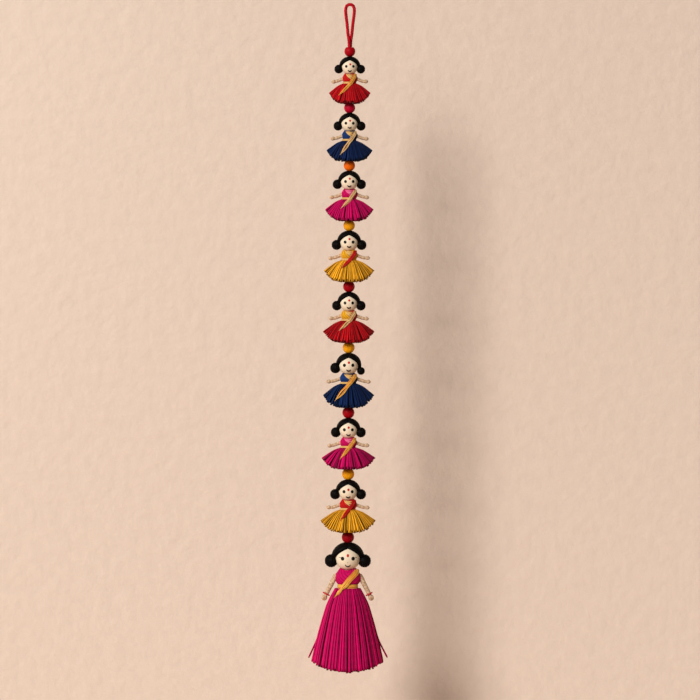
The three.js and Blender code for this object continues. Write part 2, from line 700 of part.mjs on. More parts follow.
for (let index = 0; index < dollCount; index++) {
  const number = index + 1;
  const large = index === smallDolls.length;
  const doll = large ? largeDoll : smallDolls[index];
  const pattern = large ? largePattern : smallPattern;
  const levels = levelsOf(doll, pattern);
  const radius = beadRadius(index);

  const bead = piece(`bead_${number}`, beadSolid(index), doll.bead, 0.6);
  bead.position.z = beadHeight;
  dollString.add(bead);

  const body = new THREE.Group();
  body.position.z = beadHeight - radius - seatGap + pattern.beadSinkMm - levels.hairTop;
  dollString.add(body);

  const usual = pattern.buns;
  const buns = [number === smallBunDoll ? smallBun : usual, usual];
  body.add(piece(`doll_${number}_hair`, hairSolid(doll, pattern, buns, radius), "hair", 0.5));

  if (large) {
    const coreEnd = levels.chin - pattern.coreInBodiceMm;
    const head = ball(levels.r, pattern.headSides, pattern.headRings)
      .add(rod(pattern.coreRadiusMm, 0, coreEnd))
      .subtract(cordBore(levels.r, coreEnd));
    body.add(piece(`doll_${number}_head`, head, "wood", 0.6));
    endKnotHeight = body.position.z + coreEnd - seatGap - endKnotDiameter / 2;

    let bodice = bodiceSolid(doll, pattern, pattern.coreRadiusMm + seatGap);
    for (const side of [1, -1]) {
      bodice = bodice.subtract(placeOnArm(largeArm(armClearance), side));
      const owner = side === 1 ? "left" : "right";
      body.add(piece(`doll_${number}_${owner}_arm`, placeOnArm(largeArm(), side), "jute"));
      const ringRadius = wristRadius + armClearance + bangleThickness / 2;
      const ring = new THREE.TorusGeometry(ringRadius, bangleThickness / 2, bangleSides, bangleSteps);
      const bangle = placeOnArm(ring.translate(0, 0, -bangleAlongArm), side);
      body.add(piece(`doll_${number}_${owner}_bangle`, bangle, "crimson", 0.5));
    }
    body.add(piece(`doll_${number}_bodice`, bodice, doll.bodice));
    body.add(piece(`doll_${number}_sash`, sashSolid(doll, pattern, largeSash), doll.sash));
    const skirt = looseStrands.reduce(
      (fan, strand) => fan.add(looseStrand(strand)),
      skirtSolid(doll, pattern, null, null),
    );
    body.add(piece(`doll_${number}_skirt`, skirt, doll.skirt));
  } else {
    const nextRadius = beadRadius(index + 1);
    const reach = swayGap + nextRadius;
    // widest place of the next bead at the hollow's mouth when the string sways there
    const swayed = reach * Math.sin(swayAngle);
    const mouthHeight = reach * Math.cos(swayAngle) - hollowDepth;
    const mouth = swayed + Math.sqrt(nextRadius ** 2 - mouthHeight ** 2) + 2 * seatGap;
    const hollow = { mouth, ceiling: mouth / 2 };
    const core = { radius: pattern.coreRadiusMm, length: pattern.coreInSkirtMm };
    body.add(piece(`doll_${number}_head_and_arms`, headAndArmsSolid(doll, pattern), "wood", 0.6));
    const wrap = bodiceSolid(doll, pattern, pattern.coreRadiusMm + seatGap);
    const bodice = wrap.subtract(armSlots(doll, pattern));
    body.add(piece(`doll_${number}_bodice`, bodice, doll.bodice));
    body.add(piece(`doll_${number}_sash`, sashSolid(doll, pattern, smallSash), doll.sash));
    body.add(piece(`doll_${number}_skirt`, skirtSolid(doll, pattern, hollow, core), doll.skirt));
    const skirtBottom = body.position.z + levels.skirtStart - doll.skirtDrop;
    beadHeight = skirtBottom + hollowDepth - swayGap - nextRadius;
  }
}

// Inner cord: runs from the top knot in the first bead to the end knot in the large doll's bodice
const [topRadius, endRadius] = [topKnotDiameter / 2, endKnotDiameter / 2];
const innerCord = turned(
  [
    [0, topKnotHeight + topRadius],
    ...ballOutline(topRadius, topKnotHeight, [60, 30, 0, -30]),
    [cordDiameter / 2, topKnotHeight - topRadius],
    [cordDiameter / 2, endKnotHeight + endRadius],
    ...ballOutline(endRadius, endKnotHeight, [30, 0, -30, -60]),
    [0, endKnotHeight - endRadius],
  ],
  cordSides,
);
dollString.add(piece("inner_cord", innerCord, "cord"));

export default dollString;
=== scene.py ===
"""A hanging string of nine handmade jute dolls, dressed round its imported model. Metres, +Z up."""

import math

import bpy
import numpy as np
from mathutils import Matrix, Vector


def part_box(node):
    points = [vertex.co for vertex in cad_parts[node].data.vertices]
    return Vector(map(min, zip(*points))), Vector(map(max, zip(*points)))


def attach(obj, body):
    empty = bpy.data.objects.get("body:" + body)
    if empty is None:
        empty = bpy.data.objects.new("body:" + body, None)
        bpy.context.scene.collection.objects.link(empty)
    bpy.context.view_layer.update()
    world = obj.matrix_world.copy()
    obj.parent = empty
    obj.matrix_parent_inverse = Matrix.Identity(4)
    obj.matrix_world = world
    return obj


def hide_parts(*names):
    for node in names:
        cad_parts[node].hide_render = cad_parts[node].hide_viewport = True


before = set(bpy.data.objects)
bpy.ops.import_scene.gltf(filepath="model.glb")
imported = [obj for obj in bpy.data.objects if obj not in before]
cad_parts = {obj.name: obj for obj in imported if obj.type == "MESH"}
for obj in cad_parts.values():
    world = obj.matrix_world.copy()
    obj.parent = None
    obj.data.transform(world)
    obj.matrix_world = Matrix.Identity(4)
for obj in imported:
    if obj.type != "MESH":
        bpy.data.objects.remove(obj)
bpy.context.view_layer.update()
MM = 0.001


# Camera
# The string is seen straight on through a long lens from six metres, level with its middle, and
# the camera is turned by a quarter of a degree.
PIXEL = 1.2 * MM
FRAME_PIXELS = 700
camera_distance = 6.0
middle_of_string = -412.8 * MM
camera_aside = 1.6 * MM
lean = 0.004

camera_data = bpy.data.cameras.new("camera")
camera_data.sensor_width = 36
camera_data.lens = camera_data.sensor_width * camera_distance / (FRAME_PIXELS * PIXEL)
camera = bpy.data.objects.new("camera", camera_data)
level = Matrix.Rotation(math.pi / 2, 4, "X") @ Matrix.Rotation(lean, 4, "Z")
camera.matrix_world = Matrix.Translation((camera_aside, -camera_distance, middle_of_string)) @ level
bpy.context.scene.collection.objects.link(camera)
bpy.context.scene.camera = camera


# Hanging loop
# One length of red cotton cord of three twisted strands, folded over a nail. Its two legs pass
# behind each other, and go down into the first bead, where they are knotted to the inner cord.
LOOP_CORD = 3.6 * MM
# one leg's path in mm, from the first bead's mouth up to the bend over the nail
LOOP_HALF = [
    (0.7, 1.75, -49.9),
    (0.75, 1.72, -46.8),
    (1.15, 1.45, -41),
    (1.75, 0.8, -37.2),
    (2.35, 0.2, -33.2),
    (3, 0, -26.4),
    (3.75, 0, -19.2),
    (4.7, 0, -12),
    (5.2, 0, -6.5),
    (4.95, 0, -2.8),
    (3.4, 0, 0.5),
]


def new_mesh(name, vertices, faces, finish, spans=None, tone=None):
    """A smooth mesh object. spans holds each face corner's turn and distance, for fibres that
    follow the surface, and tone holds a shade for each vertex."""
    mesh = bpy.data.meshes.new(name)
    mesh.from_pydata(np.asarray(vertices).tolist(), [], faces)
    mesh.polygons.foreach_set("use_smooth", [len(face) < 5 for face in faces])
    if spans is not None:
        mesh.uv_layers.new(name="lay").data.foreach_set("uv", np.asarray(spans, np.float32).ravel())
    if tone is not None:
        shades = mesh.attributes.new("tone", "FLOAT", "POINT")
        shades.data.foreach_set("value", np.asarray(tone, np.float32).ravel())
    mesh.materials.append(finish)
    piece = bpy.data.objects.new(name, mesh)
    bpy.context.scene.collection.objects.link(piece)
    return piece


def round_angles(count):
    """The angles of points that lie evenly round a circle."""
    return np.arange(count) * 2 * math.pi / count


def run_along(path):
    """How far along its path each point lies, for a path or a set of them."""
    steps = np.linalg.norm(np.diff(path, axis=-2), axis=-1)
    return np.concatenate([np.zeros_like(steps[..., :1]), np.cumsum(steps, axis=-1)], axis=-1)


def points_at(line, run, at):
    """Points of a line at places along it, where run holds the place of each of its own points."""
    return np.stack([np.interp(at, run, line[:, axis]) for axis in range(line.shape[1])], -1)


# the stretch of fibre that one turn round a piece counts as
ROUND_SPAN = 50 * MM


def skin(name, rings, finish, tones=None, ends="capped", lay="along"):
    """Skins a set of tubes. rings is strand x ring x corner x 3. Their ends are capped, or, when
    ends is "joined", the last ring meets the first. The fibres lie along the tube or around it."""
    strands, rows, corners, _ = rings.shape
    distance = run_along(rings[:, :, 0])
    row_count = rows if ends == "joined" else rows - 1
    row = np.arange(row_count)[:, None]
    corner = np.arange(corners)[None, :]
    here = row * corners + corner
    beside = row * corners + (corner + 1) % corners
    after = ((row + 1) % rows) * corners
    quads = np.stack([here, beside, after + (corner + 1) % corners, after + corner], -1)
    shift = (np.arange(strands) * rows * corners)[:, None, None]
    faces = (quads.reshape(1, -1, 4) + shift).reshape(-1, 4).tolist()
    turn = np.stack([corner, corner + 1, corner + 1, corner], -1) / corners
    turn = np.broadcast_to(turn, (strands, row_count, corners, 4))
    pair = np.stack([distance[:, row], distance[:, (row + 1) % rows]], -1)[..., [0, 0, 1, 1]]
    pair = np.broadcast_to(pair, turn.shape)
    if lay == "around":
        turn, pair = pair / distance.max(), turn * ROUND_SPAN
    spans = np.stack([turn, pair], -1).reshape(-1, 2)
    if ends == "capped":
        caps = []
        for start in shift.ravel():
            caps.append(list(range(start + corners - 1, start - 1, -1)))
            last = start + (rows - 1) * corners
            caps.append(list(range(last, last + corners)))
        faces += caps
        spans = np.concatenate([spans, np.zeros((len(caps) * corners, 2))])
    tone = None if tones is None else np.repeat(tones, rows * corners)
    return new_mesh(name, rings.reshape(-1, 3), faces, finish, spans, tone)


def unit(vectors):
    return vectors / np.linalg.norm(vectors, axis=-1, keepdims=True)


def tube_rings(path, radius, side, corners, flat=1.0):
    """Rings round a path or a set of paths. side points to the first corner, and radius may
    change with the strand, the ring and the corner."""
    path = np.asarray(path, float)
    ahead = unit(np.gradient(path, axis=-2))
    side = np.broadcast_to(np.asarray(side, float), path.shape)
    across = unit(side - (side * ahead).sum(-1, keepdims=True) * ahead)
    up = np.cross(ahead, across)
    angle = round_angles(corners)
    radius = np.asarray(radius, float)
    while radius.ndim < path.ndim:
        radius = radius[..., None]
    spread = np.cos(angle)[:, None] * across[..., None, :]
    spread = spread + flat * np.sin(angle)[:, None] * up[..., None, :]
    return path[..., None, :] + radius[..., None] * spread


def closed_rings(path, radius, side, corners, flat=1.0):
    """Rings round a path that closes on itself. Its ends are run on, so that they meet evenly."""
    radius = np.broadcast_to(radius, len(path))
    path, radius = (np.concatenate([line[-2:], line, line[:2]]) for line in (path, radius))
    return tube_rings(path, radius, side, corners, flat)[2:-2]


def smooth_path(points, count):
    """Evenly spaced points on a smooth curve through the given ones."""
    points = np.asarray(points, float)
    ends = [2 * points[:1] - points[1:2], points, 2 * points[-1:] - points[-2:-1]]
    held = np.concatenate(ends)
    fine = []
    for a, b, c, d in zip(held, held[1:], held[2:], held[3:]):
        t = np.linspace(0, 1, 24, endpoint=False)[:, None]
        fine.append(0.5 * (2 * b + (c - a) * t + (2 * a - 5 * b + 4 * c - d) * t**2
                           + (3 * b - a - 3 * c + d) * t**3))
    fine = np.concatenate([*fine, points[-1:]])
    run = run_along(fine)
    return points_at(fine, run, np.linspace(0, run[-1], count))


def srgb(*channels):
    """A colour as it is seen, 0 to 255, as the linear colour that a shader takes."""
    parts = [channel / 255 for channel in channels]
    return [c / 12.92 if c <= 0.04045 else ((c + 0.055) / 1.055) ** 2.4 for c in parts] + [1.0]


def feed(tree, node, inputs):
    """Gives each named input of a node its value, or links another node's output to it."""
    for key, value in inputs.items():
        value = getattr(value, "socket", value)
        if isinstance(value, bpy.types.NodeSocket):
            tree.links.new(value, node.inputs[key])
        else:
            node.inputs[key].default_value = value
    return node


def add(tree, kind, inputs=None, **settings):
    """Adds a node, sets it and feeds its inputs."""
    made = tree.nodes.new(kind)
    for key, value in settings.items():
        setattr(made, key, value)
    return feed(tree, made, inputs or {})


class Value:
    """A node's output that is reckoned with. Each step of a sum adds a math node to its tree."""

    def __init__(self, socket):
        self.socket = socket

    def step(self, operation, *values):
        tree = self.socket.id_data
        return Value(add(tree, "ShaderNodeMath", dict(enumerate(values)), operation=operation).outputs[0])

    def __add__(self, other):
        return self.step("ADD", self, other)

    def __sub__(self, other):
        return self.step("SUBTRACT", self, other)

    def __rsub__(self, other):
        return self.step("SUBTRACT", other, self)

    def __mul__(self, other):
        return self.step("MULTIPLY", self, other)

    def wave(self):
        """The cosine of a number that counts whole turns."""
        return self.step("COSINE", self * (2 * math.pi))


def noise(tree, scale, detail, vector=None, dimensions="3D", **more):
    """A noise texture, laid over the whole object unless it gets another vector."""
    if vector is None:
        vector = add(tree, "ShaderNodeTexCoord").outputs["Object"]
    inputs = {"Vector": vector, "Scale": scale, "Detail": detail, **more}
    return Value(add(tree, "ShaderNodeTexNoise", inputs, noise_dimensions=dimensions).outputs[0])


def tinted(tree, value, colour):
    """A colour made lighter or darker."""
    return add(tree, "ShaderNodeHueSaturation", {"Value": value, "Color": colour}).outputs[0]


def strand_lay(tree):
    """The turn round a strand, 0 to 1, the distance along it in metres, and its own shade."""
    lay = add(tree, "ShaderNodeUVMap", uv_map="lay").outputs[0]
    turn, run, _ = add(tree, "ShaderNodeSeparateXYZ", {0: lay}).outputs
    tone = add(tree, "ShaderNodeAttribute", attribute_name="tone").outputs["Fac"]
    return Value(turn), Value(run), Value(tone)


def new_group(name, colours, numbers):
    """A node group that gives a colour, a height and a roughness, with what is given to it and its
    output node."""
    group = bpy.data.node_groups.new(name, "ShaderNodeTree")
    sockets = [("INPUT", socket, "Color") for socket in colours]
    sockets += [("INPUT", socket, "Float") for socket in numbers]
    sockets += [("OUTPUT", "Color", "Color")]
    sockets += [("OUTPUT", socket, "Float") for socket in ("Height", "Roughness")]
    for way, socket, kind in sockets:
        group.interface.new_socket(socket, in_out=way, socket_type=f"NodeSocket{kind}")
    outputs = group.nodes.new("NodeGroupInput").outputs
    given = {socket: Value(outputs[socket]) for socket in colours + numbers}
    return group, given, group.nodes.new("NodeGroupOutput")


def shader(name, roughness=0.8, specular=0.2, sheen=0.0, tint=(1.0, 1.0, 1.0, 1.0)):
    """A material with its main shader. The plain numbers are set on the shader's own sockets."""
    finish = bpy.data.materials.new(name)
    finish.use_nodes = True
    main = finish.node_tree.nodes["Principled BSDF"]
    plain = {"Roughness": roughness, "Specular IOR Level": specular}
    plain |= {"Sheen Weight": sheen, "Sheen Roughness": 0.5, "Sheen Tint": tint}
    feed(finish.node_tree, main, plain)
    return finish, main


def surface(tree, main, colour, height, bump, strength):
    """Links a colour and a relief of the given height in mm to the main shader."""
    relief = {"Height": height, "Distance": bump * MM, "Strength": strength}
    normal = add(tree, "ShaderNodeBump", relief).outputs[0]
    feed(tree, main, {"Base Color": colour, "Normal": normal})


def grouped(name, group, values, bump, strength, rougher=0.0, **plain):
    """A material whose colour, relief and roughness come from a node group."""
    finish, main = shader(name, **plain)
    tree = finish.node_tree
    made = add(tree, "ShaderNodeGroup", values, node_tree=group)
    surface(tree, main, made.outputs["Color"], made.outputs["Height"], bump, strength)
    feed(tree, main, {"Roughness": Value(made.outputs["Roughness"]) + rougher})
    return finish


# Twisted yarn: plies that wind round the strand, loose fuzz, and strands of differing shade, with painted
# shade in the grooves between the plies and where strands touch
twist, given, twist_out = new_group(
    "twisted_yarn", ["Color"], ["Plies", "Turns per metre", "Groove shade", "Variation", "Crease shade"]
)
turn, run, tone = strand_lay(twist)
ridge = (turn * given["Plies"] + run * given["Turns per metre"]).wave() * 0.5 + 0.5
fuzz = noise(twist, scale=1500.0, detail=3.0)
patches = noise(twist, scale=140.0, detail=2.0)
# tone is each strand's own shade at random, and on the skirts also a painted shade for the deeper layers
shade = (patches * 0.35 - 0.175 + tone) * given["Variation"] + 1.0
# painted shade: the grooves between the plies are darker
groove_shade = (1.0 - ridge) * given["Groove shade"]
# painted shade: strands that lie side by side are darker where they touch
beside = turn.step("POWER", turn.step("ABSOLUTE", turn.wave()), 4.0) * given["Crease shade"]
lightness = shade * (1.0 - groove_shade) * (fuzz * 0.3 + 0.77) * (1.0 - beside)
colour = tinted(twist, lightness, given["Color"])
feed(twist, twist_out, {"Color": colour, "Height": fuzz * 0.35 + ridge, "Roughness": fuzz * 0.25 + 0.7})


def yarn(name, colour, variation, crease_shade, plies=2.0, turns=110.0, groove_shade=0.15, bump=0.1, sheen=0.08):
    """Dyed yarn or cord that is twisted from plies, with painted shade in its ply grooves and where
    strands touch.
    """
    values = {"Color": colour, "Plies": plies, "Turns per metre": turns, "Groove shade": groove_shade}
    values |= {"Variation": variation, "Crease shade": crease_shade}
    return grouped(name, twist, values, bump, 0.8, specular=0.15, sheen=sheen, tint=colour)


# the cord's grooves between its plies get a strong painted shade
cord_yarn = yarn(
    "red_cord", srgb(216, 12, 36), variation=0.5, crease_shade=0.0,
    plies=3.0, turns=111.0, groove_shade=0.55, bump=0.15, sheen=0.25,
)
loop_points = [*LOOP_HALF, (0, 0, LOOP_CORD / MM / 2)]
loop_points += [(-x, -y, z) for x, y, z in reversed(LOOP_HALF)]
loop_path = smooth_path(loop_points, 170) * MM
loop_run = run_along(loop_path)
LOOP_CORNERS = 15
STRAND_TURN = 9 * MM
# three round strands stand out of the cord as lobes that wind along it
winding = round_angles(LOOP_CORNERS)[None] + 2 * math.pi * loop_run[:, None] / STRAND_TURN
loop_radius = LOOP_CORD / 2 * (0.88 + 0.26 * np.abs(np.cos(1.5 * winding)))
loop_rings = tube_rings(loop_path, loop_radius, (0, 1, 0), LOOP_CORNERS)
hanging_loop = skin("loop_of_red_cord", loop_rings[None], cord_yarn)
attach(hanging_loop, "string_top")
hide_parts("hanging_loop")


# Wooden beads
# Each is a turned wooden ball, drilled through for the cord and dyed. The first one has a wide
# mouth, where both legs of the loop and their knot go in.
CORD = 2.5 * MM
BORE = CORD / 2 + 0.3 * MM
leg_x, leg_y, loop_end = LOOP_HALF[0]
MOUTH = math.hypot(leg_x, leg_y) * MM + LOOP_CORD / 2 + 0.3 * MM
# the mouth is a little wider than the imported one, as the cord's three strands stand out
WIDE_MOUTH = MOUTH + 0.27 * MM
DOLLS = 9
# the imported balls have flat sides, so a round one is a little larger
ROUND_OUT = 1.08
bead_dyes = {
    "bead_red": srgb(166, 0, 16),
    "bead_rose": srgb(184, 2, 42),
    "bead_orange": srgb(242, 104, 4),
    "bead_gold": srgb(246, 162, 12),
    "bead_dark_red": srgb(156, 0, 18),
}
bead_slots = ["red", "rose", "orange", "gold", "red", "gold", "red", "gold", "dark_red"]

# Wood grain: long streaks up the piece, and broad lighter and darker patches
grain, given, grain_out = new_group("wood_grain", ["Color"], ["Streaks"])
place = add(grain, "ShaderNodeTexCoord").outputs["Object"]
stretched = add(grain, "ShaderNodeMapping", {"Vector": place, "Scale": (900, 900, 110)}).outputs[0]
streaks = noise(grain, scale=1.0, detail=4.0, vector=stretched, dimensions="4D")
broad = noise(grain, scale=160.0, detail=2.0, dimensions="4D")
lightness = broad * 0.16 + ((streaks - 0.5) * given["Streaks"] + 0.92)
colour = tinted(grain, lightness, given["Color"])
feed(grain, grain_out, {"Color": colour, "Height": streaks, "Roughness": streaks * 0.2 + 0.38})


def wood(name, colour, streaks, bump, specular, rougher=0.0):
    """Turned wood, dyed or bare."""
    values = {"Color": colour, "Streaks": streaks}
    return grouped(name, grain, values, bump, 0.6, rougher, specular=specular)


def lathe(profile, corners):
    """Rings of a profile of (radius, height) turned about +Z, as one strand's corners."""
    profile = np.asarray(profile, float)
    angle = round_angles(corners)
    x = profile[:, None, 0] * np.cos(angle)
    y = profile[:, None, 0] * np.sin(angle)
    z = np.broadcast_to(profile[:, None, 1], x.shape)
    return np.stack([x, y, z], -1)


def ball_profile(radius, top, bottom, steps):
    """(radius, height) points down a ball, from where its radius is top to where it is bottom."""
    first, last = math.asin(top / radius), math.pi - math.asin(bottom / radius)
    angles = np.linspace(first, last, steps)
    return [(radius * math.sin(a), radius * math.cos(a)) for a in angles]


bead_finish = {
    name: wood(name, dye, streaks=0.5, bump=0.1, specular=0.1)
    for name, dye in bead_dyes.items()
}
BEAD_CORNERS, BEAD_ROWS = 40, 22
# the gold beads are carved with shallow grooves from hole to hole
GROOVES, GROOVE_DEPTH = 10, 0.025
carved = GROOVE_DEPTH * (1 - np.abs(np.cos(GROOVES / 2 * round_angles(BEAD_CORNERS))))
bead_centre, bead_radius = [], []
for index in range(DOLLS):
    low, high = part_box(f"bead_{index + 1}")
    packed = (high.x - low.x) / 2
    centre = (high.z + low.z) / 2
    if index == 0:
        centre = loop_end * MM - math.sqrt(packed**2 - MOUTH**2)
    radius = packed * ROUND_OUT
    bead_centre.append(centre)
    bead_radius.append(radius)
    mouth = WIDE_MOUTH if index == 0 else BORE
    outside = ball_profile(radius, mouth * 1.03, BORE * 1.12, BEAD_ROWS)
    top, foot = outside[0][1], outside[-1][1]
    inside = [(BORE, foot + 0.3 * MM), (BORE, 0)]
    if index == 0:
        inside += [(BORE, top - 5.8 * MM), (mouth, top - 5.6 * MM)]
    inside += [(mouth, top - 0.3 * MM)]
    rings = lathe(outside + inside, BEAD_CORNERS)
    dye = f"bead_{bead_slots[index]}"
    if dye == "bead_gold":
        rings[:BEAD_ROWS, :, :2] *= 1 - carved[None, :, None]
    rings = rings + [0, 0, centre]
    bead = skin(f"wooden_bead_{index + 1}", rings[None], bead_finish[dye], ends="joined")
    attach(bead, f"link_{index + 1}")
    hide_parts(f"bead_{index + 1}")


# Heads
# A pale wooden ball with a peg that goes down through the bodice, drilled for the cord. A small
# doll's peg is glued into its skirt, and the large doll's ends above the cord's last knot.
# the balls' diameters, and the room between a piece and what it sits on, in mm
HEADS = [19.7, 20.5, 21.3, 22.3, 21.5, 23.6, 22.4, 23.0, 30.5]
SEAT = 0.3
# heights of the bodice and the belt, and the peg's radius and length below the chin, in mm
small_levels = {"bodice": 9.6, "belt": 1.8, "peg": 3.1, "peg_length": 15.7}
large_levels = {"bodice": 16.8, "belt": 5.5, "peg": 4.0, "peg_length": 7.0}
face_wood = wood("bare_face_wood", srgb(240, 220, 192), streaks=0.1, bump=0.03, specular=0.2, rougher=0.22)

head_radius = [diameter / 2 for diameter in HEADS]
head_height, levels = [], []
bore = BORE / MM
for index, r in enumerate(head_radius):
    large = index == DOLLS - 1
    level = large_levels if large else small_levels
    levels.append(level)
    skirt_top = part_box(f"doll_{index + 1}_skirt")[1].z
    head_height.append(skirt_top + (SEAT + level["belt"] + level["bodice"] + r) * MM)
    peg, foot = level["peg"], -r - level["peg_length"]
    profile = ball_profile(r, bore, peg, steps=30)
    profile += [(peg, -math.sqrt(r**2 - peg**2) - 0.5), (peg, foot), (bore, foot), (bore, 0)]
    rings = lathe(profile, corners=48) * MM + [0, 0, head_height[-1]]
    head = skin(f"doll_{index + 1}_wooden_head", rings[None], face_wood, ends="joined")
    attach(head, f"doll_{index + 1}")
    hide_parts(f"doll_{index + 1}_head" if large else f"doll_{index + 1}_head_and_arms")


def each_doll(count=DOLLS):
    """Each doll's place in the lists, its name, its head's radius in mm, and its head's middle."""
    for index in range(count):
        yield index, f"doll_{index + 1}", head_radius[index], [0, 0, head_height[index]]


# Painted faces
# Two black dots for eyes, a red dot on the forehead and a thin brown smile, each a drop of paint
# that stands a little off the wood. The large face has lashes and a nose dot as well.
def paint(name, colour, roughness):
    """A drop of dried paint, a little uneven in its gloss."""
    finish, main = shader(name, roughness=roughness)
    tree = finish.node_tree
    brush = noise(tree, scale=1500.0, detail=2.0)
    surface(tree, main, tinted(tree, brush * 0.3 + 0.85, colour), brush, bump=0.03, strength=1.0)
    return finish


black_paint = paint("black_paint", srgb(12, 9, 8), 0.45)
red_paint = paint("red_paint", srgb(204, 20, 22), 0.5)
brown_paint = paint("brown_paint", srgb(44, 16, 12), 0.6)

# in head radii: each eye's place and size, the dot's size and how tall it is, and the smile's half
# width, its bow and the brush's width
small_face = {
    "eyes": (0.436, -0.045, 0.178),
    "bindi_size": (0.125, 1.1),
    "smile": (0.23, 0.075, 0.088),
}
large_face = {
    "eyes": (0.42, -0.06, 0.155),
    "bindi_size": (0.1, 1.33),
    "smile": (0.225, 0.08, 0.053),
}
# each face is painted by hand, so the dot and the smile sit a little differently
BINDI_ASIDE = [0.05, 0.06, 0.05, 0.04, 0.04, 0.03, 0.03, 0.03, 0.0]
BINDI_HEIGHTS = [0.2, 0.25, 0.27, 0.28, 0.24, 0.22, 0.19, 0.15, 0.18]
SMILE_HEIGHTS = [-0.57, -0.53, -0.54, -0.52, -0.55, -0.56, -0.58, -0.6, -0.61]


def on_face(r, x, z, lift=0.0):
    """A point of the head's front, lift out from the wood."""
    direction = unit(np.stack([x, -np.sqrt(r**2 - x**2 - z**2), z], -1))
    return direction * (r + lift)


def drop(r, x, z, size, thickness, tall=1.0):
    """Rings of a round drop of paint on the head's front."""
    out = unit(on_face(r, np.float64(x), np.float64(z)))
    side = unit(np.cross(out, [0, 0, 1]))
    up = np.cross(side, out)
    angle = round_angles(20)[:, None]
    around = np.cos(angle) * side + tall * np.sin(angle) * up
    rings = []
    for share, rise in [(0.02, -0.25), (0.9, -0.25), (1.0, 0.02), (0.86, 0.55), (0.55, 0.9), (0.04, 1.0)]:
        rings.append(unit(out * r + share * size * around) * (r + rise * thickness))
    return np.array(rings)


def stroke(r, points, width):
    """Rings of a thin brush stroke on the head's front, pointed at both ends."""
    line = smooth_path(points, 18)
    path = on_face(r, line[:, 0], line[:, 1], lift=-0.1 * width)
    share = np.linspace(-1, 1, len(path))
    radius = width * np.sqrt(np.clip(1.02 - share**2, 0, None))
    return tube_rings(path, radius, unit(path), corners=8)


for index, body, r, lift in each_doll():
    large = index == DOLLS - 1
    face = large_face if large else small_face
    x, z, size = face["eyes"]
    dots = [drop(r, side * x * r, z * r, size * r, thickness=0.16) for side in (-1, 1)]
    eyes = skin(f"{body}_eyes", np.array(dots) * MM + lift, black_paint)
    size, tall = face["bindi_size"]
    x, z = BINDI_ASIDE[index] * r, BINDI_HEIGHTS[index] * r
    dot = drop(r, x, z, size * r, thickness=0.14, tall=tall)
    bindi = skin(f"{body}_bindi", dot[None] * MM + lift, red_paint)
    half, bow, width = face["smile"]
    share = np.linspace(-1, 1, 7)
    smile = np.stack([share * half, SMILE_HEIGHTS[index] + bow * (2 * share**2 - 1)], -1)
    lines = [(smile, width)]
    if large:
        for side in (-1, 1):
            lines.append(([(side * 0.52, 0.02), (side * 0.62, 0.03), (side * 0.73, 0.06)], 0.02))
        lines.append(([(-0.03, -0.35), (0, -0.365), (0.03, -0.35)], 0.022))
    strokes = [stroke(r, np.array(line) * r, width * r) for line, width in lines]
    mouth = skin(f"{body}_smile", np.array(strokes) * MM + lift, brown_paint)
    for piece, slot in ((eyes, "hair_black"), (bindi, "bead_red"), (mouth, "hair_black")):
        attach(piece, body)


# Hair
# Black fibre combed from a centre parting over the top and the back of the head, glued down, and
# wound into a round bun over each ear. The bead sits in a dimple on top.
# half of the hairline as it is seen from the front, and the lower edge behind it, in head radii
HAIRLINE = [
    (0, 0.7), (0.15, 0.64), (0.33, 0.55), (0.56, 0.41),
    (0.75, 0.26), (0.9, 0.07), (0.97, -0.09), (0.98, -0.2),
]
HAIR_WIDTH, HAIR_BACK, HAIR_TOP = 1.3, 1.24, 1.22
LOW_EDGE = [(0.93, 0.3, -0.42), (0.68, 0.66, -0.52), (0.34, 0.84, -0.52)]
NAPE = np.array([0.0, 0.88, -0.5])
# the numbers of broad and narrow locks from the hairline to the nape
LOCKS = (22, 57)
PARTING_DEPTH, PARTING_WIDTH = 0.075, 0.045
# how far out and how high each bun sits, and its radius, in head radii
SMALL_BUN = (1.34, -0.33, 0.545)
LARGE_BUN = (1.306, -0.26, 0.52)
# the sixth doll's bun on its own left is smaller and lower
SIXTH, LOW_BUN = 5, (1.26, -0.62, 0.4)

# Combed fibre: streaks of lighter and darker fibre that run along the lay, which on the black hair stand
# for a painted sheen, and painted shade where bundles touch
comb, given, comb_out = new_group(
    "combed_fibre", ["Color", "Light"], ["Fibres", "Run", "Contrast", "Crease shade"]
)
turn, run, tone = strand_lay(comb)
combed = {0: turn * given["Fibres"], 1: run * given["Run"]}
combed = add(comb, "ShaderNodeCombineXYZ", combed).outputs[0]
streaks = noise(comb, scale=1.0, detail=4.0, vector=combed, Roughness=0.65)
light = Value(add(comb, "ShaderNodeMapRange", {0: streaks, 1: 0.35, 2: 0.65}).outputs[0])
mixed = {0: light * given["Contrast"] + tone, 6: given["Color"], 7: given["Light"]}
mixed = add(comb, "ShaderNodeMix", mixed, data_type="RGBA").outputs[2]
# painted shade: bundles that lie side by side are darker where they touch
beside = turn.wave()
colour = tinted(comb, 1.0 - beside * beside * given["Crease shade"], mixed)
feed(comb, comb_out, {"Color": colour, "Height": streaks, "Roughness": streaks * 0.3 + 0.3})


def fibre(name, colour, light, lay, contrast, bump, rougher, crease_shade=0.0, **plain):
    """Combed or flattened fibre, which keeps its lay. lay gives its streaks round a bundle and
    in a metre along it."""
    # crease_shade darkens the sides of the bundles where they touch, a painted shade
    values = {"Color": colour, "Light": light, "Fibres": lay[0], "Run": lay[1]}
    values |= {"Contrast": contrast, "Crease shade": crease_shade}
    return grouped(name, comb, values, bump, 0.7, rougher, **plain)


# the hair's lighter streaks are a painted sheen on the black fibre
hair_finish = fibre(
    "combed_black_hair", srgb(4, 3, 3), srgb(30, 26, 24), lay=(90.0, 60.0),
    contrast=0.5, bump=0.16, rougher=0.0, specular=0.03,
)


def rounded(share, width):
    """How far an edge has swelled to its full thickness, 0 to 1, over the given width."""
    return np.sqrt(1 - (1 - np.clip(share / width, 0, 1)) ** 2)


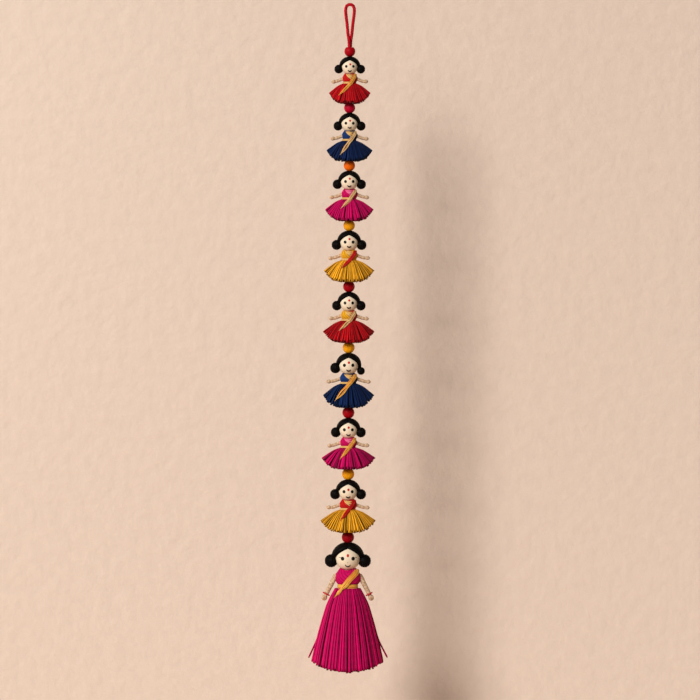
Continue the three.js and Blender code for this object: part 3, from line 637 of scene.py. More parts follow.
def hair_cap(r, bead_middle, bead_room):
    """Rings of the hair cap. Rows run from the hairline over to the nape, and corners from one
    side up over the parting to the other and back under the cap."""
    rows, half, fine = 64, 26, 60
    back = np.linspace(0, 1, rows) ** 1.15
    side = np.linspace(-1, 1, 2 * half + 1)
    down = np.abs(side)
    hairline = smooth_path(HAIRLINE, fine)
    hairline_y = -np.sqrt(np.clip(1 - (hairline**2).sum(-1), 0, None))
    edge = np.stack([hairline[:, 0], hairline_y, hairline[:, 1]], -1)
    low_edge = smooth_path([edge[-1], *LOW_EDGE, NAPE], fine)
    first, last = (math.atan2(point[2], point[1]) for point in (edge[0], NAPE))
    over = np.linspace(first, last, fine)
    parting = np.stack([0 * over, np.cos(over), np.sin(over)], -1)
    # the cap's directions are spread evenly between its four edges
    u, v = back[:, None, None], down[None, :, None]
    places = np.linspace(0, 1, fine)
    upper, lower = (points_at(line, places, back)[:, None] for line in (parting, low_edge))
    front = points_at(edge, places, down)[None]
    corners = (1 - u) * (1 - v) * parting[0] + u * (1 - v) * NAPE + (1 - u) * v * edge[-1] + u * v * NAPE
    way = (1 - v) * upper + v * lower + (1 - u) * front + u * NAPE - corners
    way[..., 0] *= np.where(side < 0, -1, 1)[None]
    way = unit(way)
    full = 1 / np.linalg.norm(way / [HAIR_WIDTH, HAIR_BACK, HAIR_TOP], axis=-1)
    swell = (rounded(back, 0.14) * rounded(1 - back, 0.06))[:, None] * rounded(1 - down, 0.16)
    reach = 1.0 + (full - 1) * swell
    broad, narrow = (2 * math.pi * count * back for count in LOCKS)
    locks = 0.5 * np.cos(broad) + 0.3 * np.cos(narrow + 1.3)
    reach = reach + 0.009 * locks[:, None] * swell
    reach = reach - PARTING_DEPTH * np.exp(-((down / PARTING_WIDTH) ** 2))[None] * swell
    outer = way * reach[..., None] * r
    from_bead = outer - [0, 0, bead_middle]
    near = np.linalg.norm(from_bead, axis=-1, keepdims=True)
    outer = np.where(near < bead_room, [0, 0, bead_middle] + from_bead / near * bead_room, outer)
    inner = way[:, ::-4] * r * 0.975
    return np.concatenate([outer, inner], axis=1)


def bun_rings(r, side, out, drop_by, radius):
    """Rings of a bun, wound from fibre about the sideways axis."""
    profile = []
    for angle in np.linspace(0.03, math.pi - 0.03, 34):
        wound = 1 + 0.018 * math.cos(15 * angle) - 0.03 * math.exp(-((angle / 0.25) ** 2))
        profile.append((wound * math.sin(angle), wound * math.cos(angle)))
    turned = lathe(profile, corners=28)
    turned = np.stack([side * turned[..., 2], turned[..., 0], -side * turned[..., 1]], -1)
    return turned * radius * r + [side * out * r, 0, drop_by * r]


for index, body, r, lift in each_doll():
    bead_middle = (bead_centre[index] - head_height[index]) / MM
    rings = hair_cap(r, bead_middle, bead_radius[index] / MM + 0.12)
    # the fibres lie from the parting to the sides, across the rows
    cap = skin(f"{body}_combed_hair", rings[None] * MM + lift, hair_finish, lay="around")
    right_bun = LARGE_BUN if index == DOLLS - 1 else SMALL_BUN
    left_bun = LOW_BUN if index == SIXTH else right_bun
    wound = [bun_rings(r, 1, *left_bun), bun_rings(r, -1, *right_bun)]
    buns = skin(f"{body}_buns", np.array(wound) * MM + lift, hair_finish, lay="around")
    for piece in (cap, buns):
        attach(piece, body)
        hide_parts(f"{body}_hair")


# Bodices
# Dyed yarn folded over each shoulder and tied in at the waist. The blouse on the doll's right
# swells over the chest, and a drape of the skirt's yarn covers the other side under the sash.
DEEP = 0.8
yarn_dyes = {
    "yarn_red": srgb(208, 12, 24),
    "yarn_scarlet": srgb(222, 28, 24),
    "yarn_navy": srgb(12, 38, 86),
    "yarn_blue": srgb(24, 60, 122),
    "yarn_magenta": srgb(220, 2, 100),
    "yarn_marigold": srgb(255, 177, 36),
    "yarn_yellow": srgb(253, 181, 34),
}
# the skirts' strands are darker where they touch, a painted shade
yarn_finish = {
    name: yarn(name, dye, variation=1.0, crease_shade=0.8)
    for name, dye in yarn_dyes.items()
}
# folded yarn gets a milder painted shade where its folds crease
folded_finish = {
    name: yarn(f"folded_{name}", dye, variation=0.9, crease_shade=0.45)
    for name, dye in yarn_dyes.items()
}
skirt_dyes = ["red", "navy", "magenta", "marigold", "red", "navy", "magenta", "marigold", "magenta"]
bodice_dyes = ["scarlet", "blue", "magenta", "yellow", "yellow", "blue", "magenta", "scarlet", "magenta"]
drape_dyes = [*skirt_dyes[:7], "scarlet", "magenta"]
# the folds' slope across the chest, and the length of its slanting side
FOLD_SLOPE, FOLD_SLANT = 1.2, 1.56
# how wide a bodice is, in head radii, from the chin (0) down to the waist (1)
small_bodice = [(0.0, 0.6), (0.07, 0.68), (0.32, 0.89), (0.68, 0.88), (1.0, 0.74)]
large_bodice = [(0.0, 0.62), (0.05, 0.72), (0.22, 0.93), (0.52, 1.02), (0.8, 0.95), (1.0, 0.8)]


def bodice_radius(index, down):
    """Radius of a bodice at a depth in mm below the chin."""
    shape = smooth_path(large_bodice if index == DOLLS - 1 else small_bodice, 40)
    return head_radius[index] * np.interp(down / levels[index]["bodice"], shape[:, 0], shape[:, 1])


def bodice_side(index, side, puff, spacing, foot):
    """Rings of one side of a bodice, and each point's place across and along its folds. Rows go
    round from the front edge to the middle of the back, and corners down the outside and up inside.
    The blouse (side -1) goes on a little way under the drape, and the drape reaches foot lower."""
    r, height = head_radius[index], levels[index]["bodice"]
    inner = levels[index]["peg"] + 0.3
    down = np.linspace(-0.1, height + foot, 44)
    outside = bodice_radius(index, down)
    # the front edge slants from beside the neck to past the middle
    edge = side * (-0.14 + 0.5 * np.maximum(down, 0) / height + (0.3 if side < 0 else 0)) * r
    first = np.arcsin(np.clip(edge / outside, -0.9, 0.9))
    share = np.linspace(0, 1, 64)[:, None]
    angle = first + share * (math.pi - first)
    run = share * (math.pi - first) * outside
    full = rounded(run, 1.3) * rounded(1 - share, 0.05)
    middle = 0.85 if side < 0 else 0.55
    swell = puff * r * np.exp(-(((run / r - middle) / 0.42) ** 2))
    swell = swell * np.sin(math.pi * np.maximum(down, 0) / (height + foot))
    aside = side * angle * 0.87 * r
    across = (-down - side * FOLD_SLOPE * aside) / FOLD_SLANT
    fold = np.abs(np.cos(math.pi * across / spacing)) ** 0.6 - 0.7
    over = 0.25 * side
    radius = inner + (outside + swell + over + 0.4 * fold * full - inner) * (0.35 + 0.65 * full)
    x, y = side * radius * np.sin(angle), -DEEP * radius * np.cos(angle)
    # the neckline rises beside the chin, close under the head
    under = np.minimum(np.abs(x), 0.55 * r)
    rise = (r - np.sqrt(r**2 - under**2)) * np.clip(1 - down / 2.5, 0, 1)
    rows = np.stack([x, y, rise - r - down], -1)
    end = -r - height - foot
    # up the inside, from the last corner of the outside back to the first
    lining = [(end - 0.2, 0.75, -1), (end - 0.2, 0.0, -1), (-r - 0.4, 0.0, 0), (-r + 0.4, 0.5, 0)]
    back = []
    for z, out, corner in lining:
        at = inner + out * (outside[corner] - inner) * full[:, :1]
        turned = angle[:, [corner]]
        place = [side * at * np.sin(turned), -DEEP * at * np.cos(turned), 0 * at + z]
        back.append(np.concatenate(place, -1))
    rings = np.concatenate([rows, np.stack(back, 1)], axis=1)
    along = (side * aside - FOLD_SLOPE * down) / FOLD_SLANT * MM
    # a quarter turn more puts the painted crease shade in the hollows between the folds, not on their
    # ridges
    spans = np.stack([across / spacing / 2 + 0.25, along], -1)
    return rings, np.concatenate([spans, np.repeat(spans[:, :1], len(lining), axis=1)], axis=1)


for index, body, r, lift in each_doll():
    large = index == DOLLS - 1
    worn = {
        "blouse": (-1, 0.05 if large else 0.12, bodice_dyes[index], 0),
        "drape": (1, 0.02, drape_dyes[index], 0 if large else 1.8),
    }
    for name, (side, puff, dye, foot) in worn.items():
        rings, places = bodice_side(index, side, puff, 3.2 if large else 2.4, foot)
        rings = rings[None] * MM + lift
        wrap = skin(f"{body}_{name}", rings, folded_finish[f"yarn_{dye}"])
        # the yarn's twist runs along the folds
        vertex = np.empty(len(wrap.data.loops), np.int32)
        wrap.data.loops.foreach_get("vertex_index", vertex)
        spans = places.reshape(-1, 2)[vertex].astype(np.float32)
        wrap.data.uv_layers["lay"].data.foreach_set("uv", spans.ravel())
        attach(wrap, body)
        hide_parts(f"{body}_bodice")


# Small dolls' arms
# One bar of soft core wound with jute thread, pushed through the body. It slopes down a little,
# and each end is knotted into a hand.
wound_jute = fibre(
    "wound_jute", srgb(166, 120, 82), srgb(248, 222, 188), lay=(7.0, 420.0),
    contrast=0.75, bump=0.1, rougher=0.4, specular=0.12, sheen=0.1,
)
# the arm's and the hand's radius in mm, and how far out the hand reaches in head radii
ARM, HAND, REACH = 2.1, 2.45, 2.28
# heights below the chin, as shares of the bodice
SHOULDER_DROP, HAND_DROP = 0.32, 0.86


def wound_arm(path, radius, hand_at, hand, pitch, depth, corners=14):
    """Rings of an arm with its winding, and a knotted hand at the end."""
    run = run_along(path)[:, None]
    angle = round_angles(corners)
    wrist = 1 / (1 + np.exp(-(run - hand_at + hand * 0.9) / (0.16 * hand)))
    ball = np.sqrt(np.clip(1 - ((run - hand_at) / (hand * 1.15)) ** 2, 0.004, None))
    body = radius[:, None] + depth * (np.abs(np.cos(math.pi * run / pitch + angle / 2)) - 0.6)
    fist = hand * ball * (1 + 0.06 * np.cos(3 * angle + 0.8) + 0.04 * np.cos(5 * angle))
    # the hand takes over from the wound arm at the wrist
    size = body * (1 - wrist) + fist * wrist
    return tube_rings(path, size, (0, 1, 0), corners)


for index, body, r, lift in each_doll(DOLLS - 1):
    height = levels[index]["bodice"]
    start = -r - SHOULDER_DROP * height
    fall = (HAND_DROP - SHOULDER_DROP) * height
    run = REACH * r - HAND
    arms = []
    for side in (-1, 1):
        # each arm is a little bent in its own way
        bend = 0.5 * math.sin(index * 2.1 + side)
        knots = [(0, start + 0.2), (0.35 * run, start - 0.3 * fall)]
        knots += [(0.75 * run, start - 0.86 * fall - 0.25), (run, start - fall + bend * 0.5)]
        knots += [(run + HAND, start - fall + 0.5 + bend)]
        line = smooth_path(knots, 84)
        path = np.stack([side * line[:, 0], 0 * line[:, 0], line[:, 1]], -1)
        thick = ARM * np.linspace(1.02, 0.88, len(path))
        arms.append(wound_arm(path, thick, run - 0.1, HAND, pitch=1.7, depth=0.28))
    pair = skin(f"{body}_wound_arms", np.array(arms) * MM + lift, wound_jute)
    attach(pair, body)
    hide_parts(f"{body}_head_and_arms")


# Small skirts
# Lengths of dyed jute yarn tied at the waist under the belt and trimmed to one length, so that
# they fan out flat and their ends make a shallow dome round the next bead.
# The waist is in head radii, and the hem's height at the side and at the front is a share of the
# skirt's drop. hem is how narrow the side's rise is, flare gives how far out the skirt is on the way
# down, strand is a strand's half width in mm at the waist and at the hem, and folds and fold are the
# number and the depth of the skirt's folds.
small_skirt = {
    "waist": 0.84,
    "side": 0.47,
    "front": 0.98,
    "hem": 4.2,
    "flare": [(0, 0), (0.1, 0.2), (0.22, 0.38), (0.5, 0.62), (0.75, 0.81), (1, 1)],
    "strand": (0.46, 1.4),
    "folds": 17,
    "fold": 0.2,
    "rings": 12,
    # how far out each layer's ends lie, its number of strands, how much shorter they are at the
    # front, and how much darker they are: a painted shade for the layers deeper in the skirt, and
    # a darker tone on the large skirt's outer layer
    "layers": [
        (1.0, 54, 0.09, 0.0), (0.97, 54, 0.0, -0.35), (0.87, 46, 0.0, -0.5),
        (0.72, 38, 0.0, -0.5), (0.55, 28, 0.0, -0.5), (0.38, 18, 0.0, -0.5),
    ],
}
large_skirt = {
    "waist": 1.02,
    "side": 0.88,
    "front": 0.99,
    "hem": 2.4,
    "flare": [(0, 0), (0.1, 0.18), (0.22, 0.355), (0.44, 0.565), (0.72, 0.8), (1, 1)],
    "strand": (0.72, 1.85),
    "folds": 19,
    "fold": 0.35,
    "rings": 28,
    "layers": [
        (1.0, 62, 0.015, -0.07), (0.965, 62, 0.0, -0.4), (0.86, 52, 0.0, -0.5),
        (0.72, 42, 0.0, -0.5), (0.55, 30, 0.0, -0.5), (0.36, 18, 0.0, -0.5),
    ],
}
# how deep a skirt is at the hem for its width, and the large one's half width in mm
SKIRT_DEEP, LARGE_HALF = 0.72, 43.5
STRAND_CORNERS = 6


def skirt_size(index):
    """(top, half width, drop) of a skirt in mm, from its head's middle."""
    low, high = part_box(f"doll_{index + 1}_skirt")
    half = LARGE_HALF if index == DOLLS - 1 else (high.x - low.x) / MM / 2
    return (high.z - head_height[index]) / MM, half, (high.z - low.z) / MM


def hem_share(kind, angle):
    """How far down the hem hangs at an angle, as a share of the skirt's drop."""
    lowered = 1 - np.abs(np.cos(angle)) ** kind["hem"]
    return kind["side"] + (kind["front"] - kind["side"]) * lowered


def skirt_surface(index, angle, share):
    """(radius, flatness, height) of a skirt's outside, from its head's middle."""
    kind = large_skirt if index == DOLLS - 1 else small_skirt
    top, half, drop_by = skirt_size(index)
    fall = drop_by * hem_share(kind, angle)
    flare = np.interp(share, *np.array(kind["flare"]).T)
    radius = kind["waist"] * head_radius[index] * (1 - flare) + half * flare
    return radius, DEEP + (SKIRT_DEEP - DEEP) * share, top - share * fall


def skirt_strands(index, kind, seed):
    """Rings, and a shade for each strand, of the skirt's yarn."""
    random = np.random.default_rng(seed)
    top, half, drop_by = skirt_size(index)
    waist = kind["waist"] * head_radius[index]
    strands, tones = [], []
    share = np.linspace(0, 1, kind["rings"])
    for layer, (out, count, shorter, shade) in enumerate(kind["layers"]):
        pitch = 2 * math.pi / count
        angle = (np.arange(count) + 0.5 * (layer % 2)) * pitch
        angle = angle + random.normal(0, 0.16, count) * pitch * np.abs(np.sin(angle)) ** 0.3
        bunched = 0.3 / kind["folds"] * np.sin(kind["folds"] * angle)
        angle = angle - bunched * np.abs(np.sin(angle)) ** 0.5
        fold = kind["fold"] * np.cos(kind["folds"] * angle) * out**2
        inward = random.uniform(0, 0.8, count)
        length = 1 + random.normal(0, 0.008, count) - shorter * np.abs(np.sin(angle))
        rim = drop_by * hem_share(kind, angle)
        end = rim + (drop_by - rim) * (1 - out**2)
        if index < DOLLS - 1 and out < 0.5:
            end = end - 2.0
        s = share[None] * length[:, None]
        flare = np.interp(s, *np.array(kind["flare"]).T) + np.clip(s - 1, 0, None)
        begin = waist * (0.45 + 0.55 * out)
        radius = begin * (1 - flare) + out * half * flare
        inward = inward[:, None] + 0.5 * np.interp(s, [0, 1], kind["strand"])
        radius = radius + fold[:, None] * np.minimum(1, 2.5 * s) - inward
        drift = random.normal(0, 1, count)[:, None] * s**1.5
        drift = drift + random.normal(0, 0.45, count)[:, None] * np.sin(math.pi * s)
        turn = angle[:, None] + drift * 0.6 / np.maximum(radius, 4)
        flat = DEEP + (SKIRT_DEEP - DEEP) * s
        z = top + 0.9 * (1 - s) ** 6 - s * end[:, None]
        path = np.stack([radius * np.cos(turn), radius * flat * np.sin(turn), z], -1)
        side = np.stack([-np.sin(turn), np.cos(turn), 0 * turn], -1)
        narrow, broad = kind["strand"]
        spread = (radius - begin) / max(out * half - begin, 1)
        thick = narrow + (broad - narrow) * np.clip(spread, 0, 1)
        thick = thick * random.uniform(0.85, 1.08, count)[:, None]
        thick[:, -1] *= 0.78
        strands.append(tube_rings(path, thick[..., None], side, STRAND_CORNERS, flat=0.8))
        # each strand's own shade at random, plus its layer's painted shade
        tones.append(random.normal(0, 0.26, count) + shade)
    return np.concatenate(strands), np.concatenate(tones)


for index, body, r, lift in each_doll(DOLLS - 1):
    rings, tones = skirt_strands(index, small_skirt, seed=40 + index)
    dye = f"yarn_{skirt_dyes[index]}"
    skirt = skin(f"{body}_yarn_skirt", rings * MM + lift, yarn_finish[dye], tones=tones)
    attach(skirt, body)
    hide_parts(f"{body}_skirt")


# Belts and sashes
# A flat ribbon of jute fibre is wound round the waist. A second one comes from the back over the
# doll's left shoulder, crosses the chest and tapers to a point over the skirt.
sash_dyes = {
    "jute_gold": (srgb(244, 136, 30), srgb(255, 198, 92)),
    "jute_tan": (srgb(210, 144, 78), srgb(255, 216, 154)),
    "jute_red": (srgb(168, 8, 16), srgb(230, 36, 32)),
}
RIBBON_LAY = (3.0, 70.0)
# the sash's bundles are darker where they touch, a painted shade
sash_finish = {
    name: fibre(name, dark, light, RIBBON_LAY, contrast=0.9, bump=0.16, rougher=0.22, crease_shade=0.5)
    for name, (dark, light) in sash_dyes.items()
}
# the cream ribbon is darker where its bundles touch, a painted shade
cream_finish = fibre(
    "cream_jute", srgb(214, 158, 76), srgb(252, 224, 160), RIBBON_LAY,
    contrast=0.8, bump=0.14, rougher=0.25, crease_shade=0.4,
)
sash_slots = ["gold", "tan", "tan", "red", "tan", "gold", "gold", "red", "gold"]
# sideways, height and width. Heights above the skirt are shares of the way up to the chin, and
# the rest are in head radii.
small_sash = {
    "back": [(-0.3, 0.1, 0.3), (0.1, 0.46, 0.36), (0.5, 0.78, 0.38)],
    "front": [(0.62, 0.9, 0.36), (0.58, 0.74, 0.38), (0.32, 0.4, 0.4), (0.08, 0.06, 0.4)],
    "hanging": [(0.06, 0.4), (0.4, 0.34), (0.72, 0.24), (1, 0.13)],
    "shoulder": (0.62, 0.38),
    "lift": 1.0,
    "thick": 0.46,
    "bundles": 4,
    # how far each doll's sash opens on either side of its middle
    "split": [0.15, 0.5, 0.1, 0.1, 0.4, 0.9, 0.25, 0.15],
}
# where each small doll's sash ends: sideways, and down from the skirt's top, in head radii. Its
# hanging part is given as shares of the way from the belt to there.
SASH_TIPS = [
    (-1.33, 1.5), (-1.08, 1.7), (-0.97, 1.08), (-0.89, 0.94),
    (-1.09, 1.14), (-1.37, 1.73), (-0.85, 1.18), (-0.82, 1.12),
]
large_sash = {
    "back": [(-0.3, 0.15, 0.3), (0.1, 0.5, 0.4), (0.56, 0.84, 0.44)],
    "front": [(0.64, 0.88, 0.42), (0.4, 0.7, 0.44), (0.12, 0.52, 0.42), (-0.2, 0.22, 0.4),
              (-0.46, -0.02, 0.34), (-0.76, -0.36, 0.24), (-1.04, -0.7, 0.1)],
    "shoulder": (0.66, 0.44),
    "hanging": [],
    "lift": 1.2,
    "thick": 0.6,
    "bundles": 6,
    "split": [0.3] * 9,
}


def dressed_y(index, x, z, side):
    """Where the bodice or the skirt lies at a place seen from the front (-1) or behind (1)."""
    r = head_radius[index]
    top, half, drop_by = skirt_size(index)
    if z > top:
        height = levels[index]["bodice"]
        worn = float(bodice_radius(index, min(-r - z, height)))
        if -r - z > height - 0.8:
            worn = max(worn, 0.84 * r)
        radius = max(worn, abs(x) + 0.1)
        return side * DEEP * math.sqrt(radius**2 - x**2)
    angle, share = side * math.pi / 2, 0.0
    for _ in range(12):
        radius = skirt_surface(index, angle, share)[0]
        angle = side * math.acos(max(-1.0, min(1.0, x / radius)))
        rim = skirt_surface(index, angle, 1)[2]
        share = max(0.0, min(1.0, (top - z) / (top - rim)))
    radius, flat, _ = skirt_surface(index, angle, share)
    return flat * radius * math.sin(angle)


def sash_station(index, lift, x, rise, width, side):
    """A place of the sash's middle as it lies on the clothes, its width and its facing."""
    r = head_radius[index]
    top = skirt_size(index)[0]
    x, z = x * r, top + rise * ((-r - top) if rise > 0 else r)
    y = dressed_y(index, x, z, side)
    over = np.array([0.5, dressed_y(index, x + 0.5, z, side) - y, 0])
    up = np.array([0, dressed_y(index, x, z + 0.5, side) - y, 0.5])
    normal = unit(np.cross(over, up))
    normal = normal * (side * np.sign(normal[1]))
    return [*(np.array([x, y, z]) + normal * lift), width * r, *normal]


def sash_rings(index, plan, seed):
    """Rings of the sash's bundles of fibre, side by side."""
    random = np.random.default_rng(seed)
    r, lift, bundles = head_radius[index], plan["lift"], plan["bundles"]
    front = list(plan["front"])
    begin = front[-1][0]
    for share, width in plan["hanging"]:
        tip, below = SASH_TIPS[index]
        front.append((begin + share * (tip - begin), -share * below, width))
    x, width = plan["shoulder"]
    stations = [sash_station(index, lift, *place, 1) for place in plan["back"]]
    stations.append([x * r, 0, -r - 0.3 + lift, width * r, 0, 0, 1])
    stations += [sash_station(index, lift, *place, -1) for place in front]
    line = smooth_path(stations, 64)
    middle, width, normal = line[:, :3], line[:, 3], unit(line[:, 4:])
    across = unit(np.cross(unit(np.gradient(middle, axis=0)), normal))
    steps = np.arange(len(line))
    taper = np.clip((steps[-1] - steps) / 4, 0.3, 1) ** 0.7
    rings = []
    for aside in np.linspace(-1, 1, bundles):
        stop = 1 - 0.12 * max(0.0, abs(aside) - 0.4) * random.uniform(0.6, 1.4)
        at = np.linspace(0, stop * steps[-1], len(line))
        wide = np.interp(at, steps, width)
        ripple = 0.12 * np.sin(at * random.uniform(0.2, 0.5) + random.uniform(0, 6))
        bow = 0.35 * (1 - aside**2) + 0.16 * random.normal()
        opening = np.exp(-(((at / steps[-1] - 0.8) / 0.09) ** 2)) * np.sign(aside)
        sideways = aside * wide / 2 * 0.84 + ripple + plan["split"][index] * opening
        side = points_at(across, steps, at)
        path = points_at(middle, steps, at) + side * sideways[:, None]
        path = path + points_at(normal, steps, at) * (bow - 0.25)
        radius = wide / bundles * 0.6
        flat = plan["thick"] / radius.mean()
        rings.append(tube_rings(path, radius * taper, side, corners=8, flat=flat))
    return np.array(rings)


def belt_rings(turns, radius, thick, top, spacing, arc=None):
    """Rings of a belt's turns round the waist, or of its stretch between two angles."""
    first, last = arc or (0, 2 * math.pi)
    angle = np.linspace(first, last, 72, endpoint=arc is not None)
    x, y = radius * np.cos(angle), radius * DEEP * np.sin(angle)
    wind = tube_rings if arc else closed_rings
    rings = []
    for turn in range(turns):
        tilt = 0.12 * np.sin(angle + turn * 1.7)
        path = np.stack([x, y, top - turn * spacing + tilt], -1)
        rings.append(wind(path, thick, (0, 0, 1), corners=8, flat=0.8))
    return np.array(rings)


# a small doll's belt goes round its right side, from under the sash to the back
RIGHT_SIDE = (-0.42 * math.pi, -1.5 * math.pi)
# the large doll's gold waistband
BAND_TURNS = 5
for index, body, r, lift in each_doll():
    large = index == DOLLS - 1
    waist = -r - levels[index]["bodice"]
    slot = f"jute_{sash_slots[index]}"
    plan = large_sash if large else small_sash
    bundles = sash_rings(index, plan, seed=70 + index) * MM + lift
    # light and dark bundles take turns, and the first one differs from pair to pair
    tones = 0.3 * (-1.0) ** (np.arange(plan["bundles"]) + index // 2) + 0.25
    ribbon = skin(f"{body}_jute_sash", bundles, sash_finish[slot], tones=tones)
    if large:
        turns = belt_rings(BAND_TURNS, 0.78 * r, thick=0.62, top=waist - 0.7, spacing=1.05)
        tones = 0.3 + 0.3 * (-1.0) ** np.arange(BAND_TURNS)
        turns = turns * MM + lift
        belt = skin(f"{body}_jute_belt", turns, sash_finish[slot], tones=tones, ends="joined")
    else:
        top, tones = waist + 0.35, np.array([0.1, -0.2, 0.15])
        turns = belt_rings(3, 0.83 * r, thick=0.52, top=top, spacing=0.82, arc=RIGHT_SIDE)
        belt = skin(f"{body}_jute_belt", turns * MM + lift, cream_finish, tones=tones)
    for piece in (ribbon, belt):
        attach(piece, body)
        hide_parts(f"{body}_sash")


# Neck trims
# A flat thread of light fibre follows each small doll's neckline from its right shoulder down
# under the sash, and two more lie across below the chin.
pink_finish = fibre(
    "pink_jute", srgb(214, 60, 120), srgb(248, 150, 178), lay=(5.0, 90.0),
    contrast=0.8, bump=0.1, rougher=0.3,
)
# each trim's places, sideways in head radii and in mm below the chin, its half width, and how far
# it stands out
trims = [
    ([(-0.44, -0.1), (-0.34, 0.9), (-0.16, 2.6), (0.04, 4.5), (0.2, 6.2)], 1.15, 0.35),
    ([(-0.34, 0.3), (-0.05, 1.1), (0.2, 1.3), (0.46, 0.8)], 1.25, 0.2),
    ([(-0.22, 1.6), (0.0, 2.5), (0.2, 3.2), (0.36, 3.4)], 1.5, 0.15),
]
slim = np.sqrt(np.clip(np.sin(np.linspace(0.25, math.pi - 0.2, 30)), 0, None))
for index, body, r, lift in each_doll(DOLLS - 1):
    edges = []
    for places, widest, out in trims:
        path = [
            (x * r, dressed_y(index, x * r, -r - below, -1) - out, -r - below)
            for x, below in places
        ]
        path = smooth_path(path, len(slim))
        edges.append(tube_rings(path, widest * slim, (0, 0.4, 1), corners=8, flat=0.6))
    # the third and the seventh doll have pink trims
    finish = pink_finish if index in (2, 6) else cream_finish
    trim = skin(f"{body}_neck_trim", np.array(edges) * MM + lift, finish)
    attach(trim, body)
    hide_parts(f"{body}_bodice")
    "yarn_magenta" if index in (2, 6) else "jute_gold"


# Large doll's arms and bangles
# Each arm is a padded core wound with jute thread. It is pinned in its sleeve, so it swings, and
# it ends in a round hand. A loose red ring hangs over each wrist.
large_r = head_radius[-1]
large_lift = np.array([0, 0, head_height[-1]])
ARM_ANGLE = math.radians(27)
shoulder = np.array([14.7925, 0, -large_r - 7.056])
# along the arm from the shoulder: where it begins in the sleeve, the bangle and the hand
BEGIN, ALONG_BANGLE, ARM_LENGTH = -2.6, 24.1, 29.0
LARGE_HAND, LARGE_ARM, WRIST = 3.3, 3.1, 2.5
BANGLE_THICK, BANGLE_ROOM, BANGLE_WAVES = 1.8, 0.35, 14
bangle_red = paint("bangle_red", srgb(196, 16, 34), 0.28)
for owner, side in (("left", 1), ("right", -1)):
    way = np.array([side * math.sin(ARM_ANGLE), 0, -math.cos(ARM_ANGLE)])
    root = shoulder * [side, 1, 1]
    run = np.linspace(BEGIN, ARM_LENGTH + LARGE_HAND * 1.1, 120)
    path = root + run[:, None] * way
    sizes = [1.4, 2.7, LARGE_ARM, LARGE_ARM, WRIST]
    thick = np.interp(run, [BEGIN, BEGIN + 1, 0, 4, ALONG_BANGLE], sizes)
    hand_at = ARM_LENGTH - BEGIN
    rings = wound_arm(path, thick, hand_at, LARGE_HAND, pitch=2.0, depth=0.32, corners=20)
    arm = skin(f"doll_9_{owner}_wound_arm", rings[None] * MM + large_lift, wound_jute)
    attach(arm, f"{owner}_arm")
    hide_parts(f"doll_9_{owner}_arm")

    angle = round_angles(56)
    ring_radius = WRIST + BANGLE_ROOM + BANGLE_THICK / 2
    across = np.array([math.cos(ARM_ANGLE), 0, side * math.sin(ARM_ANGLE)])
    round_arm = np.cos(angle)[:, None] * across + np.sin(angle)[:, None] * np.array([0, 1, 0])
    path = root + ALONG_BANGLE * way + ring_radius * round_arm
    wave = (1 + 0.1 * np.cos(BANGLE_WAVES * angle)) / 1.1
    rings = closed_rings(path, BANGLE_THICK / 2 * wave, way, corners=10)
    bangle = skin(f"doll_9_{owner}_red_bangle", rings[None] * MM + large_lift, bangle_red, ends="joined")
    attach(bangle, f"{owner}_bangle")
    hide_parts(f"doll_9_{owner}_bangle")


# Large skirt
# Long lengths of magenta yarn tied at the waist under the gold band. They fall close together and
# end unevenly at the hem, and one strand stands off on each side.
# where each loose strand leaves the skirt and where it ends: shares of the half width and the drop
LOOSE_STRANDS = [((-0.84, 0.61), (-1.07, 0.835)), ((0.88, 0.64), (1.1, 0.829))]
rings, tones = skirt_strands(DOLLS - 1, large_skirt, seed=49)
skirt_top, half, drop_by = skirt_size(DOLLS - 1)
for leaves, ends in LOOSE_STRANDS:
    side = math.copysign(1, leaves[0])
    points = []
    for share in (0.05, 0.2, 0.35, 0.5, 0.62):
        radius, _, z = skirt_surface(DOLLS - 1, 0.0, share)
        points.append((side * (radius - 0.7), -0.6, z))
    points += [(out * half, -0.6, skirt_top - down * drop_by) for out, down in (leaves, ends)]
    path = smooth_path(points, large_skirt["rings"])
    # the strand's end is trimmed, so it is a little thinner
    thick = np.append(np.full(len(path) - 1, 1.2), 0.85)
    rings = np.concatenate([rings, tube_rings(path, thick, (0, 1, 0), STRAND_CORNERS)[None]])
    tones = np.append(tones, 0.1)
long_skirt = skin("doll_9_yarn_skirt", rings * MM + large_lift, yarn_finish["yarn_magenta"], tones=tones)
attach(long_skirt, "doll_9")
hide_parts("doll_9_skirt")


# Inner cord
# The same red cord runs from the loop's knot down through every bead and doll. It bends where a
# bead meets the skirt above it, so each bend has its own length.
ROOM_AT_BEND = 0.5 * MM
bends = [loop_end * MM]
bends += [bead_centre[i] + bead_radius[i] / ROUND_OUT + ROOM_AT_BEND for i in range(1, DOLLS)]
bends.append(head_height[-1] - (large_r + 12.0) * MM)
# the knots in the first bead's mouth and in the large doll's bodice, each as far from its end
STOP_KNOT, END_KNOT, KNOT_IN = 2.5 * MM, 2.9 * MM, 2.9 * MM
for index in range(DOLLS):
    start, stop = bends[index], bends[index + 1]
    height = np.linspace(start - 0.35 * MM, stop, 46)
    thick = np.full(len(height), CORD / 2 * 0.94)
    if index in (0, DOLLS - 1):
        middle, size = (start - KNOT_IN, STOP_KNOT) if index == 0 else (stop + KNOT_IN, END_KNOT)
        thick = np.maximum(thick, np.sqrt(np.clip(size**2 - (height - middle) ** 2, 0, None)))
    path = np.stack([0 * height, 0 * height, height], -1)
    rings = tube_rings(path, thick, (1, 0, 0), corners=10)
    inner = skin(f"inner_cord_{index + 1}", rings[None], cord_yarn)
    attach(inner, f"link_{index + 1}")
    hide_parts("inner_cord")


# Wall, floor and light
# A pale plastered wall behind the string and a pale floor below it, lit by soft window light
# from the upper left, whose glow makes the wall brighter on the left.
WALL_BEHIND = 0.2
pale = srgb(227, 205, 188)


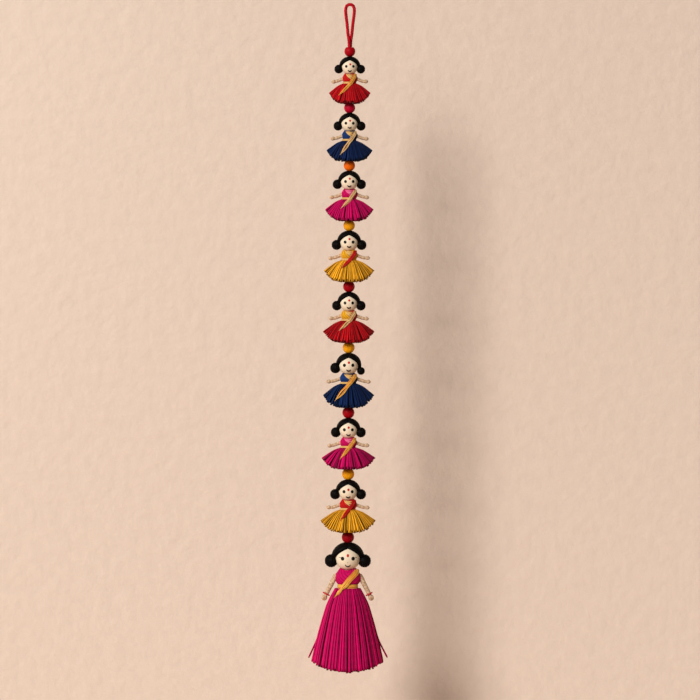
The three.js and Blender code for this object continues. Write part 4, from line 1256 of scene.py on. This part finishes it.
def plaster(name):
    """Pale plaster with a faint unevenness. It isn't seen from behind."""
    finish, main = shader(name, roughness=0.95, specular=0.1)
    tree = finish.node_tree
    uneven = noise(tree, scale=60.0, detail=6.0)
    surface(tree, main, tinted(tree, uneven * 0.1 + 0.95, pale), uneven, bump=2.5, strength=0.6)
    clear = add(tree, "ShaderNodeBsdfTransparent").outputs[0]
    behind = Value(add(tree, "ShaderNodeNewGeometry").outputs["Backfacing"])
    behind = behind * add(tree, "ShaderNodeLightPath").outputs["Is Camera Ray"]
    either = add(tree, "ShaderNodeMixShader", {0: behind, 1: main.outputs[0], 2: clear}).outputs[0]
    feed(tree, tree.nodes["Material Output"], {"Surface": either})
    return finish


wall_plaster = plaster("wall_plaster")
WIDE, HIGH, LOW = 3.0, 1.4, -1.15
wall_foot = [(-WIDE, WALL_BEHIND, LOW), (WIDE, WALL_BEHIND, LOW)]
stage_corners = {
    "wall": [*wall_foot, (WIDE, WALL_BEHIND, HIGH), (-WIDE, WALL_BEHIND, HIGH)],
    "floor": [(-WIDE, -WIDE, LOW), (WIDE, -WIDE, LOW), *wall_foot[::-1]],
}
for name, corners in stage_corners.items():
    new_mesh(name, corners, [[0, 1, 2, 3]], wall_plaster)

# each light's name, kind, strength, spread, place and direction
lights = [
    ("window_light", "SUN", 2.72, {"angle": math.radians(21)}, (0, 0, 0), (0.5, 0.84, -0.38)),
    ("window_glow", "AREA", 4.4, {"size": 1.0}, (-1.15, -0.6, 0.2), (0.8, 0.8, -0.5)),
]
for name, kind, energy, spread, place, direction in lights:
    light = bpy.data.lights.new(name, kind)
    for key, value in {"energy": energy, "color": (1.0, 0.985, 0.955), **spread}.items():
        setattr(light, key, value)
    lamp = bpy.data.objects.new(name, light)
    bpy.context.scene.collection.objects.link(lamp)
    lamp.location = place
    lamp.rotation_mode = "QUATERNION"
    lamp.rotation_quaternion = Vector(direction).to_track_quat("-Z", "Y")

# the room's light is low, and the camera sees a pale room behind the string
room = bpy.data.worlds.new("room")
room.use_nodes = True
tree = room.node_tree
room_light = feed(tree, tree.nodes["Background"], {"Color": srgb(255, 253, 250), "Strength": 0.1})
room_seen = add(tree, "ShaderNodeBackground", {"Color": srgb(236, 222, 210), "Strength": 1.0})
camera_ray = add(tree, "ShaderNodeLightPath").outputs["Is Camera Ray"]
both = {0: camera_ray, 1: room_light.outputs[0], 2: room_seen.outputs[0]}
room_mix = add(tree, "ShaderNodeMixShader", both).outputs[0]
feed(tree, tree.nodes["World Output"], {"Surface": room_mix})
bpy.context.scene.world = room
bpy.context.scene.view_settings.view_transform = "Standard"
